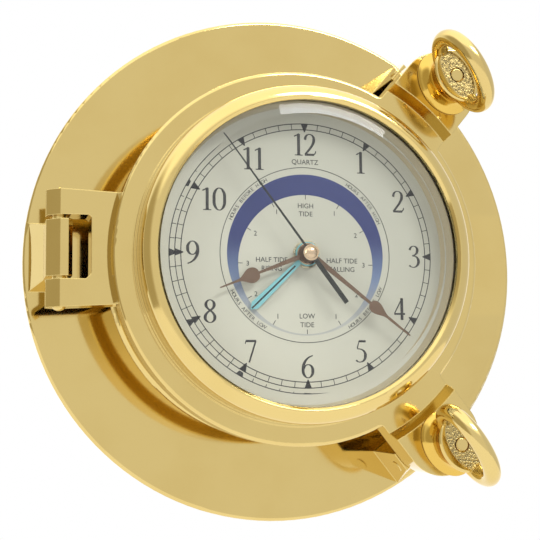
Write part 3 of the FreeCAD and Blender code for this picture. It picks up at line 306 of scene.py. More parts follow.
def lay_grain(shader: Node, group: Tree, colour: Socket, shade: float, scale: float) -> Socket:
    """Colour a shader through the fine grain and return the grain's height."""
    grain = place_group(shader.id_data, group, {"Shade": shade, "Scale": scale})
    link(colour, grain.inputs["Colour"])
    link(grain.outputs["Colour"], shader.inputs["Base Color"])
    return grain.outputs["Height"]


def add_bump(shader: Node, height: Socket, distance: float, base: Socket | None = None) -> None:
    """Feed a height from 0 to 1, in metres of relief, to a shader's normal, laid on a base normal if given."""
    bump = add_node(height.id_data, "Bump")
    set_inputs(bump, {"Distance": distance})
    link(height, bump.inputs["Height"])
    if base is not None:
        link(base, bump.inputs["Normal"])
    link(bump.outputs["Normal"], shader.inputs["Normal"])


def rounded_edges(tree: Tree, radius: float) -> Socket | None:
    """Return a normal that makes corners look rounded, or nothing at radius 0."""
    if radius <= 0:
        return None
    rounding = add_node(tree, "Bevel", samples=6)
    set_inputs(rounding, {"Radius": radius})
    return rounding.outputs["Normal"]


@dataclass(frozen=True)
class Metal:
    """Bare metal with hand polish, clouds and softened edges."""

    name: str
    colour: Triple
    tarnish: Triple
    tarnish_amount: float = 0.25
    smooth: float = 0.08
    rough: float = 0.16
    relief: float = 1.5e-6
    edge: float = 0.0

    def build(self, effects: Effects) -> Material:
        """Make the material."""
        material, tree, shader = new_material(self.name)
        set_inputs(shader, {"Metallic": 1.0})
        polish = place_group(tree, effects.polish, {
            "Colour": (*self.colour, 1.0), "Tarnish": (*self.tarnish, 1.0),
            "Tarnish amount": self.tarnish_amount, "Roughness low": self.smooth, "Roughness high": self.rough})
        link(polish.outputs["Colour"], shader.inputs["Base Color"])
        link(polish.outputs["Roughness"], shader.inputs["Roughness"])
        add_bump(shader, polish.outputs["Height"], self.relief, self.surface(tree, effects))
        return material

    def surface(self, tree: Tree, effects: Effects) -> Socket | None:
        """Return the normal that the polish is laid on."""
        return rounded_edges(tree, self.edge)


@dataclass(frozen=True)
class FlangeMetal(Metal):
    """Polished metal whose flat flange was buffed a little hollow, so it mirrors the ring and leaf wide."""

    def surface(self, tree: Tree, effects: Effects) -> Socket | None:
        """Return the rounded normal, dished on the flange's front."""
        dish = place_group(tree, effects.dish, {})
        link(rounded_edges(tree, self.edge), dish.inputs["Normal"])
        return dish.outputs["Normal"]


@dataclass(frozen=True)
class CastHead:
    """Polished brass whose sunk floor keeps the rough skin of the casting; the bell carries a painted
    reflection, a deeper gold for light bounced between bell and clevis.
    """

    name: str = "cast_head_brass"
    colour: Triple = BRASS
    tarnish: Triple = (0.52, 0.36, 0.10)
    tarnish_amount: float = 0.3
    smooth: float = 0.07
    rough: float = 0.15
    pit_cells: float = 1100.0
    # Painted reflection: the bell's deeper gold and where it begins stand in for light bounced between bell
    # and clevis
    bell_colour: Triple = (0.66, 0.44, 0.09)
    floor_colour: Triple = (0.26, 0.21, 0.10)
    floor_depth: float = -58.0 * MM
    floor_band: float = 0.22 * MM
    floor_rough: float = 0.3
    bell_edges: Pair = (-59.0 * MM, -56.5 * MM)
    facing: float = 0.9
    pit_share: float = 0.6
    polish_share: float = 0.006
    relief: float = 2.6e-4
    edge: float = 3.0e-4

    def build(self, effects: Effects) -> Material:
        """Make the material."""
        material, tree, shader = new_material(self.name)
        set_inputs(shader, {"Metallic": 1.0})
        polish = place_group(tree, effects.polish, {
            "Tarnish": (*self.tarnish, 1.0), "Tarnish amount": self.tarnish_amount,
            "Roughness low": self.smooth, "Roughness high": self.rough})
        skin = place_group(tree, effects.moulding, {"Scale": self.pit_cells})
        place = split_axes(tree)
        # Painted reflection: the bell, behind the eye's floor, is painted a deeper gold for light bounced
        # between bell and clevis
        painted_bounce_share = ramp(place.outputs["Y"], *self.bell_edges)
        link(mix_colour(painted_bounce_share, self.colour, self.bell_colour), polish.inputs["Colour"])
        turn = split_axes(tree, add_node(tree, "TexCoord").outputs["Normal"])
        offset = math_node("ABSOLUTE", math_node("SUBTRACT", place.outputs["Y"], self.floor_depth))
        level = math_node("LESS_THAN", offset, self.floor_band)
        front = math_node("LESS_THAN", turn.outputs["Y"], -self.facing)
        floor = math_node("MULTIPLY", level, front)
        spotted = mix_colour(math_node("MULTIPLY", skin.outputs["Pits"], self.pit_share),
                             self.floor_colour, self.colour)
        colour = mix_colour(floor, polish.outputs["Colour"], spotted)
        link(colour, shader.inputs["Base Color"])
        rough = plus_share(polish.outputs["Roughness"], floor, self.floor_rough)
        link(rough, shader.inputs["Roughness"])
        height = plus_share(math_node("MULTIPLY", polish.outputs["Height"], self.polish_share),
                            floor, skin.outputs["Height"])
        add_bump(shader, height, self.relief, rounded_edges(tree, self.edge))
        return material


@dataclass(frozen=True)
class Coating:
    """Paint, print, plastic or rubber with a fine grain."""

    name: str
    colour: Triple
    roughness: float = 0.5
    shade: float = 0.08
    scale: float = 1200.0
    relief: float = 1.0e-5
    metallic: float = 0.0
    coat: float = 0.0

    def build(self, effects: Effects) -> Material:
        """Make the material."""
        material, tree, shader = new_material(self.name)
        set_inputs(shader, {"Metallic": self.metallic, "Roughness": self.roughness, "Coat Weight": self.coat})
        grain = place_group(tree, effects.grain, {"Colour": (*self.colour, 1.0), "Shade": self.shade,
                                                  "Scale": self.scale})
        link(grain.outputs["Colour"], shader.inputs["Base Color"])
        add_bump(shader, grain.outputs["Height"], self.relief)
        return material


@dataclass(frozen=True)
class TideInk:
    """Crescent ink that fades from navy at the top to bare dial at the bottom."""

    name: str = "tide_crescent_ink"
    dark: Triple = (0.022, 0.034, 0.150)
    middle: Triple = (0.16, 0.22, 0.37)
    pale: Triple = (0.50, 0.50, 0.47)
    dark_edges: Pair = (-12.0 * MM, 8.0 * MM)
    pale_edges: Pair = (-30.0 * MM, -6.0 * MM)
    roughness: float = 0.45
    shade: float = 0.10
    scale: float = 2400.0
    relief: float = 4.0e-6

    def build(self, effects: Effects) -> Material:
        """Make the material."""
        material, tree, shader = new_material(self.name)
        set_inputs(shader, {"Roughness": self.roughness})
        place = split_axes(tree)
        upper = ramp(place.outputs["Z"], *self.dark_edges)
        lower = ramp(place.outputs["Z"], *self.pale_edges)
        low = mix_colour(lower, self.pale, self.middle)
        blend = mix_colour(upper, low, self.dark)
        height = lay_grain(shader, effects.grain, blend, self.shade, self.scale)
        add_bump(shader, height, self.relief)
        return material


@dataclass(frozen=True)
class DialPaper:
    """Printed ground of the dial, with painted light and shade: a little warmer and lighter low on the left,
    darker up on the right.
    """

    name: str = "dial_ground"
    cool: Triple = (0.52, 0.51, 0.43)
    warm: Triple = (0.66, 0.64, 0.54)
    slope: float = 0.9
    edges: Pair = (-60.0 * MM, 60.0 * MM)
    roughness: float = 0.42
    shade: float = 0.05
    scale: float = 2600.0
    relief: float = 5.0e-6

    def build(self, effects: Effects) -> Material:
        """Make the material."""
        material, tree, shader = new_material(self.name)
        set_inputs(shader, {"Roughness": self.roughness})
        place = split_axes(tree)
        # Painted light and shade: the ground goes from lighter low on the left to darker up on the right
        light_slant = plus_share(place.outputs["X"], place.outputs["Z"], self.slope)
        colour = mix_colour(ramp(light_slant, *self.edges), self.warm, self.cool)
        height = lay_grain(shader, effects.grain, colour, self.shade, self.scale)
        add_bump(shader, height, self.relief)
        return material


@dataclass(frozen=True)
class WindowGlass:
    """Clear glass that lets the lamps' light through to the dial."""

    name: str = "window_glass_clear"
    tint: Triple = (0.975, 0.985, 0.975)
    index: float = 1.7
    shine: float = 0.25

    def build(self, effects: Effects) -> Material:
        """Make the material."""
        material, tree, shader = new_material(self.name)
        set_inputs(shader, {"Base Color": (*self.tint, 1.0), "Roughness": 0.0, "IOR": self.index,
                            "Specular Tint": (*(self.shine,) * 3, 1.0), "Transmission Weight": 1.0})
        paths = add_node(tree, "LightPath")
        clear = add_node(tree, "BsdfTransparent")
        set_inputs(clear, {"Color": (*self.tint, 1.0)})
        either = math_node("MAXIMUM", paths.outputs["Is Shadow Ray"], paths.outputs["Is Diffuse Ray"])
        mix_shaders(tree, either, shader.outputs[0], clear.outputs[0])
        return material


@dataclass(frozen=True)
class Banded:
    """Two colours that change along X, for the cell's wrap and the coil's winding."""

    name: str
    first: Triple
    second: Triple
    edge: float
    winding: float = 0.0
    roughness: float = 0.3
    metallic: float = 0.6
    shade: float = 0.10
    scale: float = 900.0
    relief: float = 2.0e-5

    def build(self, effects: Effects) -> Material:
        """Make the material."""
        material, tree, shader = new_material(self.name)
        set_inputs(shader, {"Roughness": self.roughness, "Metallic": self.metallic})
        place = split_axes(tree)
        side = math_node("GREATER_THAN", place.outputs["X"], self.edge)
        colour = mix_colour(side, self.first, self.second)
        height = lay_grain(shader, effects.grain, colour, self.shade, self.scale)
        if self.winding > 0:
            height = math_node("SINE", math_node("MULTIPLY", place.outputs["X"], self.winding))
        add_bump(shader, height, self.relief)
        return material


class Finish(Enum):
    """Every finish of the clock."""

    POLISHED = Metal("polished_brass", BRASS, DULL_BRASS, 0.25, 0.06, 0.13, 1.4e-6, 6.0e-4)
    FLANGE = FlangeMetal("buffed_brass", BRASS, DULL_BRASS, 0.25, 0.05, 0.11, 1.2e-6, 6.0e-4)
    CAST_HEAD = CastHead()
    SPUN = Metal("spun_brass", (0.62, 0.54, 0.36), (0.50, 0.42, 0.28), 0.3, 0.22, 0.34, 2.0e-6, 1.0e-4)
    FRAME_RING = Coating("dial_ring_lacquer", (0.52, 0.44, 0.29), 0.36, 0.08, 900.0, 4.0e-6, 0.35)
    SEAL = Coating("grey_silicone", (0.20, 0.22, 0.18), 0.5, 0.15, 1500.0, 2.0e-5)
    CAP = Metal("cap_bronze", (0.62, 0.47, 0.30), (0.48, 0.34, 0.20), 0.3, 0.16, 0.26, 1.0e-6)
    STEEL = Metal("plated_steel", (0.58, 0.58, 0.58), (0.46, 0.45, 0.43), 0.4, 0.22, 0.36, 2.0e-6, 1.0e-4)
    DIAL = DialPaper()
    CRESCENT = TideInk()
    GLASS = WindowGlass()
    INK = Coating("dial_black_ink", (0.030, 0.030, 0.028), 0.5, 0.25, 2600.0, 3.0e-6)
    BROWN = Coating("hand_brown_lacquer", (0.175, 0.105, 0.062), 0.34, 0.15, 2200.0, 4.0e-6, 0.35, 0.2)
    BLACK = Coating("hand_black_lacquer", (0.022, 0.024, 0.018), 0.35, 0.2, 2200.0, 4.0e-6, 0.2)
    TIDE_BLUE = Coating("tide_blue_lacquer", (0.24, 0.56, 0.60), 0.36, 0.12, 2200.0, 4.0e-6, 0.1)
    RUBBER = Coating("black_rubber", (0.030, 0.030, 0.030), 0.75, 0.3, 1500.0, 4.0e-5)
    BLACK_PLASTIC = Coating("moulded_black_plastic", (0.035, 0.035, 0.036), 0.48, 0.3, 1400.0, 3.0e-5)
    WHITE_PLASTIC = Coating("moulded_white_plastic", (0.72, 0.72, 0.68), 0.42, 0.08, 1400.0, 1.5e-5)
    COVER_PAINT = Coating("crackle_black_paint", (0.030, 0.030, 0.030), 0.55, 0.35, 700.0, 8.0e-5)
    BOARD = Coating("board_lacquer", (0.035, 0.16, 0.055), 0.30, 0.2, 300.0, 3.0e-5, 0.0, 0.3)
    CELL = Banded("cell_wrap", (0.03, 0.03, 0.035), (0.55, 0.30, 0.12), 0.012)
    COIL = Banded("coil_winding", (0.55, 0.25, 0.10), (0.55, 0.25, 0.10), 0.0, 15700.0)


NODE_FINISHES: dict[Finish, tuple[str, ...]] = {
    Finish.FLANGE: ("base_casting",),
    Finish.POLISHED: ("hinge_pin", "door_casting", "upper_cross_pin", "lower_cross_pin",
                      "upper_anchor_nut", "lower_anchor_nut", "upper_washer", "lower_washer", "upper_stud",
                      "lower_stud"),
    Finish.CAST_HEAD: ("upper_ring_head", "lower_ring_head"),
    Finish.SPUN: ("dial_cup", "centre_nut", "glass_retaining_ring", "hour_pipe", "tide_pipe", "minute_arbor"),
    Finish.FRAME_RING: ("dial_ring",),
    Finish.CAP: ("second_cap",),
    Finish.STEEL: ("back_cover_screws", "hanger_plate", "hanger_screws", "dial_cup_screws",
                   "battery_contact_plus", "battery_contact_minus", "second_arbor", "upper_stop_clip",
                   "lower_stop_clip"),
    Finish.DIAL: ("dial_plate",),
    Finish.GLASS: ("window_glass",),
    Finish.BROWN: ("hour_hand", "minute_hand"),
    Finish.BLACK: ("second_hand",),
    Finish.TIDE_BLUE: ("tide_hand",),
    Finish.RUBBER: ("dial_gasket",),
    Finish.SEAL: ("glass_seal",),
    Finish.BLACK_PLASTIC: ("movement_case", "movement_lid"),
    Finish.WHITE_PLASTIC: ("motion_wheel", "tide_idler", "setting_knob"),
    Finish.COVER_PAINT: ("back_cover",),
    Finish.BOARD: ("circuit_board",),
    Finish.CELL: ("battery",),
    Finish.COIL: ("motor_coil",),
}


class Wardrobe:
    """Builds each finish once and dresses pieces with it."""

    def __init__(self) -> None:
        """Build the shared effects and start with no materials."""
        self.effects = Effects()
        self.made: dict[Finish, Material] = {}

    def material(self, finish: Finish) -> Material:
        """Return the finish's material, built on first use."""
        if finish not in self.made:
            self.made[finish] = finish.value.build(self.effects)
        return self.made[finish]

    def dress(self, piece: Piece, finish: Finish) -> None:
        """Give a piece one finish all over."""
        material = self.material(finish)
        if not piece.material_slots:
            piece.data.materials.append(material)
        for slot in piece.material_slots:
            slot.material = material

    def dress_frame(self, nodes: dict[str, Piece]) -> None:
        """Dress every node of the frame."""
        for finish, names in NODE_FINISHES.items():
            for name in names:
                self.dress(nodes[name], finish)
        LOG.info("dressed %d nodes", len(nodes))


# Modelling helpers: flat work in the XY plane, then stood up on the dial
def start_piece() -> None:
    """Deselect everything before a new primitive."""
    if bpy.context.mode != "OBJECT":
        bpy.ops.object.mode_set(mode="OBJECT")
    bpy.ops.object.select_all(action="DESELECT")


def active() -> Piece:
    """Return the active object."""
    return bpy.context.view_layer.objects.active


def pick(objects: list[Piece]) -> None:
    """Select these objects alone; the first becomes active."""
    start_piece()
    for obj in objects:
        obj.select_set(True)
    bpy.context.view_layer.objects.active = objects[0]


def joined(objects: list[Piece], name: str) -> Piece:
    """Join objects into one."""
    pick(objects)
    if len(objects) > 1:
        bpy.ops.object.join()
    piece = active()
    piece.name = name
    piece.data.name = name
    return piece


def applied() -> None:
    """Apply the active object's place, turn and scale to its mesh."""
    bpy.ops.object.transform_apply(location=True, rotation=True, scale=True)


def to_mesh() -> Piece:
    """Turn the active curve or text into a mesh with its place applied."""
    bpy.ops.object.convert(target="MESH")
    applied()
    return active()


def thicken(piece: Piece, thickness: float) -> None:
    """Give a flat sheet a thickness towards +Z."""
    pick([piece])
    bpy.ops.object.mode_set(mode="EDIT")
    bpy.ops.mesh.select_all(action="SELECT")
    bpy.ops.mesh.normals_make_consistent(inside=False)
    bpy.ops.mesh.extrude_region_move(TRANSFORM_OT_translate={"value": (0.0, 0.0, thickness)})
    bpy.ops.mesh.select_all(action="SELECT")
    bpy.ops.mesh.normals_make_consistent(inside=False)
    bpy.ops.object.mode_set(mode="OBJECT")


def flat_ring(outer: float, inner: float, thickness: float, shift: float = 0.0, corners: int = 192) -> Piece:
    """Model a flat ring; its inner edge may be moved down by a shift."""
    start_piece()
    bpy.ops.mesh.primitive_circle_add(vertices=corners, radius=outer, fill_type="NOTHING")
    ring = active()
    bpy.ops.object.mode_set(mode="EDIT")
    bpy.ops.mesh.select_all(action="SELECT")
    bpy.ops.mesh.extrude_edges_move()
    share = inner / outer
    bpy.ops.transform.resize(value=(share, share, 1.0), center_override=(0.0, 0.0, 0.0))
    bpy.ops.transform.translate(value=(0.0, -shift, 0.0))
    bpy.ops.object.mode_set(mode="OBJECT")
    thicken(ring, thickness)
    return ring


def bar(width: float, length: float, thickness: float, middle: Pair, taper: float = 1.0) -> Piece:
    """Model a flat bar along Y; its low end keeps a taper's share of the width."""
    start_piece()
    bpy.ops.mesh.primitive_plane_add(size=1.0, location=(middle[0], middle[1], 0.0))
    sheet = active()
    sheet.scale = (width, length, 1.0)
    applied()
    for vertex in sheet.data.vertices:
        if vertex.co.y < middle[1]:
            vertex.co.x = middle[0] + (vertex.co.x - middle[0]) * taper
    thicken(sheet, thickness)
    return sheet


def around(master: Piece, clock_angles: list[float]) -> list[Piece]:
    """Copy a piece round the origin and remove the master."""
    copies = []
    for angle in clock_angles:
        copy = master.copy()
        copy.data = master.data.copy()
        copy.data.transform(Matrix.Rotation(-math.radians(angle), 4, "Z"))
        bpy.context.scene.collection.objects.link(copy)
        copies.append(copy)
    bpy.data.objects.remove(master)
    return copies


@dataclass(frozen=True)
class Stroke:
    """One pen stroke of a numeral, in units of its height."""

    points: tuple[Pair, ...]
    curved: bool = True
    closed: bool = False
    width: float = 0.0


# Widths of the pen, in units of a numeral's height, and how fast it thickens as it turns upright
THIN, THICK, SWELL = 0.044, 0.135, 2.4
FLAT = 1.0e-7  # metres above the page that still count as lying on it


def straight(width: float, *points: Pair) -> Stroke:
    """Return a stroke of even width through straight points."""
    return Stroke(points, False, False, width)


NUMERALS: dict[str, tuple[float, tuple[Stroke, ...]]] = {
    "0": (0.6, (
        Stroke(((0.3, 0.985), (0.12, 0.84), (0.065, 0.5), (0.12, 0.16), (0.3, 0.015), (0.48, 0.16),
            (0.535, 0.5), (0.48, 0.84)), closed=True),)),
    "1": (0.52, (
        straight(THICK, (0.28, 0.98), (0.28, 0.03)),
        straight(THIN * 1.3, (0.3, 0.985), (0.2, 0.92), (0.07, 0.86)),
        straight(THIN, (0.1, 0.018), (0.46, 0.018)),
        straight(THIN * 1.3, (0.2, 0.04), (0.36, 0.04)))),
    "2": (0.6, (
        Stroke(((0.055, 0.72), (0.12, 0.9), (0.27, 0.975), (0.43, 0.89), (0.47, 0.71), (0.4, 0.5),
            (0.24, 0.27), (0.06, 0.05))),
        straight(0.1, (0.045, 0.05), (0.48, 0.05)),
        Stroke(((0.47, 0.06), (0.53, 0.13), (0.555, 0.22)), width=THIN * 1.2))),
    "3": (0.56, (
        Stroke(((0.07, 0.8), (0.15, 0.93), (0.28, 0.98), (0.42, 0.9), (0.445, 0.76), (0.36, 0.61),
            (0.2, 0.535))),
        Stroke(((0.2, 0.535), (0.38, 0.5), (0.49, 0.34), (0.455, 0.14), (0.3, 0.02), (0.15, 0.03),
            (0.06, 0.075))),
        straight(0.1, (0.075, 0.055), (0.075, 0.105)))),
    "4": (0.58, (
        straight(THICK, (0.4, 0.985), (0.4, 0.0)),
        straight(THIN * 1.25, (0.41, 0.97), (0.045, 0.29)),
        straight(0.085, (0.03, 0.275), (0.55, 0.275)))),
    "5": (0.56, (
        straight(0.1, (0.18, 0.935), (0.5, 0.935)),
        straight(THIN * 1.2, (0.19, 0.95), (0.1, 0.62)),
        Stroke(((0.1, 0.6), (0.27, 0.585), (0.43, 0.47), (0.475, 0.3), (0.41, 0.1), (0.26, 0.02),
            (0.13, 0.03), (0.05, 0.08))),
        straight(0.09, (0.065, 0.06), (0.065, 0.11)))),
    "6": (0.58, (
        Stroke(((0.52, 0.985), (0.33, 0.9), (0.15, 0.7), (0.07, 0.38), (0.13, 0.13), (0.3, 0.015),
            (0.46, 0.12), (0.515, 0.32), (0.45, 0.52), (0.31, 0.59), (0.17, 0.53), (0.1, 0.42))),)),
    "7": (0.56, (
        straight(0.1, (0.05, 0.925), (0.51, 0.925)),
        straight(THIN, (0.06, 0.93), (0.03, 0.8)),
        straight(0.075, (0.5, 0.94), (0.2, 0.0)))),
    "8": (0.58, (
        Stroke(((0.29, 0.985), (0.15, 0.91), (0.11, 0.77), (0.18, 0.63), (0.34, 0.5), (0.46, 0.36),
            (0.5, 0.22), (0.43, 0.07), (0.29, 0.015), (0.13, 0.09), (0.075, 0.24), (0.15, 0.41),
            (0.29, 0.53), (0.43, 0.65), (0.47, 0.79), (0.42, 0.92)), closed=True),)),
    "9": (0.58, (
        Stroke(((0.06, 0.015), (0.25, 0.1), (0.43, 0.3), (0.51, 0.62), (0.45, 0.87), (0.28, 0.985),
            (0.12, 0.88), (0.065, 0.68), (0.13, 0.48), (0.27, 0.41), (0.41, 0.47), (0.48, 0.58))),)),
}


# How far some hour numbers sit from their even circle, in millimetres
NUDGES: dict[int, Pair] = {
    1: (0.9, -1.0), 2: (0.0, -0.3), 4: (-0.5, 1.4), 5: (-0.3, 0.7), 7: (-0.4, 0.9), 8: (0.4, 0.0),
    10: (2.0, -1.6), 11: (1.3, -1.1)}


# Plain words of the tide scale: text, middle and baseline in millimetres
TIDE_WORDS = (
    ("HIGH", 0.0, 18.4), ("TIDE", 0.0, 15.2), ("LOW", 0.0, -25.2), ("TIDE", 0.0, -28.6),
    ("HALF TIDE", -14.1, -3.2), ("RISING", -14.1, -6.6), ("HALF TIDE", 14.7, -3.2), ("FALLING", 14.7, -6.6))

# Words round the crescent: text, clock angle of the middle, and whether the heads point outward
ARC_WORDS = (
    ("HOURS BEFORE HIGH", -47.5, True), ("HOURS AFTER HIGH", 49.0, True),
    ("HOURS AFTER LOW", 227.5, False), ("HOURS BEFORE LOW", 131.0, False))

# Number at each hour mark of the tide scale, clockwise from the top
TIDE_NUMBERS = ("", "1", "2", "3", "2", "1", "", "1", "2", "3", "2", "1")


@dataclass
class Pen:
    """Broad pen that draws numerals as flat strokes, thick down and thin across."""

    height: float
    depth: float

    def _width(self, points: tuple[Pair, ...], index: int, closed: bool) -> float:
        """Return the stroke's width at a point."""
        last = len(points) - 1
        before = points[index - 1] if closed or index > 0 else points[index]
        after = points[(index + 1) % len(points)] if closed or index < last else points[index]
        run = Vector((after[0] - before[0], after[1] - before[1]))
        upright = abs(run.y) / max(run.length, 1e-9)
        return THIN + (THICK - THIN) * upright ** SWELL

    def _stroke(self, stroke: Stroke, shift: float) -> Piece:
        """Draw one stroke."""
        start_piece()
        bpy.ops.curve.primitive_bezier_curve_add(location=(0.0, 0.0, 0.0))
        obj = active()
        data = obj.data
        data.splines.remove(data.splines[0])
        spline = data.splines.new("BEZIER")
        spline.bezier_points.add(len(stroke.points) - 1)
        kind = "AUTO" if stroke.curved else "VECTOR"
        for index, (x, y) in enumerate(stroke.points):
            point = spline.bezier_points[index]
            point.co = ((x + shift) * self.height, y * self.height, 0.0)
            point.handle_left_type = kind
            point.handle_right_type = kind
            width = stroke.width or self._width(stroke.points, index, stroke.closed)
            point.radius = width / THICK
        spline.use_cyclic_u = stroke.closed
        spline.radius_interpolation = "CARDINAL" if stroke.curved else "LINEAR"
        data.dimensions = "3D"
        data.resolution_u = 8 if stroke.curved else 1
        data.bevel_depth = THICK * self.height / 2
        data.bevel_resolution = 1
        data.use_fill_caps = True
        mesh = to_mesh()
        for vertex in mesh.data.vertices:
            vertex.co.z = self.depth if vertex.co.z > FLAT else 0.0
        return mesh

    def write(self, text: str, centre: Pair, name: str) -> Piece:
        """Write a number with its centre at a place."""
        advance = 0.0
        parts = []
        for digit in text:
            width, strokes = NUMERALS[digit]
            parts += [self._stroke(stroke, advance) for stroke in strokes]
            advance += width
        piece = joined(parts, name)
        offset = Vector((centre[0] - advance * self.height / 2, centre[1] - self.height / 2, 0.0))
        piece.data.transform(Matrix.Translation(offset))
        return piece


@dataclass
class Dial:
    """Printed work on the dial: minute track, numerals, tide scale and crescent."""

    wardrobe: Wardrobe
    face: float = field(init=False)
    ink_depth: float = 0.03 * MM
    track_outer: float = 52.5 * MM
    track_inner: float = 49.8 * MM
    line: float = 0.36 * MM
    fine_line: float = 0.27 * MM
    marker_depth: float = 3.5 * MM
    marker_width: float = 3.1 * MM
    marker_taper: float = 0.12
    numeral_radius: float = 44.0 * MM
    numeral_spread: float = 0.03
    numeral_height: float = 8.9 * MM
    tide_circle: float = 34.8 * MM
    crescent_outer: float = 31.9 * MM
    crescent_inner: float = 27.5 * MM
    crescent_shift: float = 3.8 * MM
    word_height: float = 2.0 * MM
    arc_word_height: float = 1.5 * MM
    arc_word_gap: float = 0.65 * MM
    letter_pitch_share: float = 0.86
    capital_share: float = 0.73
    boldness_share: float = 0.004
    top_word_rise: float = 36.0 * MM
    tide_mark_length: float = 1.8 * MM
    tide_number_radius: float = 23.7 * MM

    def __post_init__(self) -> None:
        """Read the dial's face from the frame."""
        self.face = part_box("dial_plate")[0].y

    def _stand_up(self, piece: Piece, lift: float, finish: Finish) -> None:
        """Stand flat work up on the dial, dress it and let it ride on the base."""
        turn = Matrix.Rotation(math.radians(90), 4, "X")
        piece.data.transform(Matrix.Translation((0.0, self.face - lift, 0.0)) @ turn)
        self.wardrobe.dress(piece, finish)
        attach(piece, Body.BASE.value)
        LOG.info("made %s", piece.name)

    def minute_track(self) -> None:
        """Model the two rings, the minute strokes and the hour markers."""
        parts = [flat_ring(self.track_outer, self.track_outer - self.line, self.ink_depth),
                 flat_ring(self.track_inner + self.line, self.track_inner, self.ink_depth)]
        length = self.track_outer - self.track_inner
        middle = (self.track_outer + self.track_inner) / 2
        mark = bar(self.fine_line, length, self.ink_depth, (0.0, middle))
        parts += around(mark, [6.0 * i for i in range(60)])
        marker = bar(self.marker_width, self.marker_depth, self.ink_depth,
                     (0.0, self.track_outer - self.marker_depth / 2), self.marker_taper)
        parts += around(marker, [30.0 * i for i in range(12)])
        self._stand_up(joined(parts, "minute_track"), 0.0, Finish.INK)

    def numerals(self) -> None:
        """Model the hour numbers, upright round the dial."""
        pen = Pen(self.numeral_height, self.ink_depth)
        parts = []
        for hour in range(1, 13):
            angle = math.radians(30 * hour)
            reach = self.numeral_radius * (1 + self.numeral_spread * abs(math.sin(angle)))
            nudge = NUDGES.get(hour, (0.0, 0.0))
            place = (reach * math.sin(angle) + nudge[0] * MM, reach * math.cos(angle) + nudge[1] * MM)
            parts.append(pen.write(str(hour), place, "hour_number"))
        self._stand_up(joined(parts, "hour_numerals"), 0.0, Finish.INK)

    def crescent(self) -> None:
        """Model the tide crescent."""
        ring = flat_ring(self.crescent_outer, self.crescent_inner, self.ink_depth * 0.6, self.crescent_shift)
        ring.name = "tide_crescent"
        self._stand_up(ring, 0.0, Finish.CRESCENT)

    def _word(self, text: str, height: float, x: float, y: float) -> Piece:
        """Set a plain word centred at a place."""
        start_piece()
        bpy.ops.object.text_add(location=(x, y, 0.0))
        data = active().data
        data.body = text
        data.align_x = "CENTER"
        data.size = height / self.capital_share
        data.resolution_u = 3
        data.extrude = self.ink_depth / 2
        data.offset = self.boldness_share * data.size
        mesh = to_mesh()
        mesh.data.transform(Matrix.Translation((0.0, 0.0, self.ink_depth / 2)))
        return mesh

    def _arc_words(self, text: str, radius: float, middle: float, upper: bool) -> list[Piece]:
        """Set letters one by one along a circle; the heads of upper ones point outward."""
        step = math.degrees(self.arc_word_height * self.letter_pitch_share / radius)
        letters = []
        for index, letter in enumerate(text):
            if letter == " ":
                continue
            offset = (index - (len(text) - 1) / 2) * step
            angle = middle + offset if upper else middle - offset
            baseline = radius if upper else -radius - self.arc_word_height
            piece = self._word(letter, self.arc_word_height, 0.0, baseline)
            turn = angle if upper else angle - 180
            piece.data.transform(Matrix.Rotation(-math.radians(turn), 4, "Z"))
            letters.append(piece)
        return letters

    def tide_scale(self) -> None:
        """Model the thin circle, the hour marks of the tide and its plain words."""
        parts = [flat_ring(self.tide_circle, self.tide_circle - self.fine_line, self.ink_depth)]
        for steps, text in enumerate(TIDE_NUMBERS):
            angle = math.radians(30 * steps)
            mark = bar(self.fine_line, self.tide_mark_length, self.ink_depth,
                       (0.0, self.crescent_inner - self.tide_mark_length / 2))
            for copy in around(mark, [30.0 * steps]):
                copy.data.transform(Matrix.Translation((0.0, -self.crescent_shift, 0.0)))
                parts.append(copy)
            if text:
                reach = self.tide_number_radius
                parts.append(self._word(text, self.word_height, reach * math.sin(angle),
                                        reach * math.cos(angle) - self.crescent_shift - self.word_height / 2))
        parts += [self._word(text, self.word_height, x * MM, y * MM) for text, x, y in TIDE_WORDS]
        low = self.crescent_outer + self.arc_word_gap
        for text, middle, upper in ARC_WORDS:
            parts += self._arc_words(text, low, middle, upper)
        parts.append(self._word("QUARTZ", self.word_height, 0.0, self.top_word_rise))
        self._stand_up(joined(parts, "tide_scale"), self.ink_depth * 0.4, Finish.INK)

    def build(self) -> None:
        """Model all the printed work."""
        self.crescent()
        self.minute_track()
        self.numerals()
        self.tide_scale()


@dataclass
class TideHandInlay:
    """Black line down the tide hand and the bronze collar on its hub."""

    wardrobe: Wardrobe
    clock_angle: float = 226.5
    width: float = 0.62 * MM
    start: float = 7.0 * MM
    end: float = 31.2 * MM
    thickness: float = 0.05 * MM
    collar_outer: float = 4.3 * MM
    collar_inner: float = 3.45 * MM
    collar_thickness: float = 0.5 * MM

    def _finish(self, piece: Piece, finish: Finish) -> None:
        """Stand a piece on the hand's front, dress it and let it ride with the hand."""
        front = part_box("tide_hand")[0].y
        turn = Matrix.Rotation(math.radians(90), 4, "X")
        piece.data.transform(Matrix.Translation((0.0, front, 0.0)) @ turn)
        self.wardrobe.dress(piece, finish)
        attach(piece, Body.TIDE.value)
        LOG.info("made %s", piece.name)

    def build(self) -> None:
        """Model the line and the collar."""
        length = self.end - self.start
        master = bar(self.width, length, self.thickness, (0.0, (self.start + self.end) / 2))
        line = around(master, [self.clock_angle])[0]
        line.name = "tide_hand_line"
        self._finish(line, Finish.BLACK)
        collar = flat_ring(self.collar_outer, self.collar_inner, self.collar_thickness, corners=64)
        collar.name = "tide_hand_collar"
        self._finish(collar, Finish.CAP)


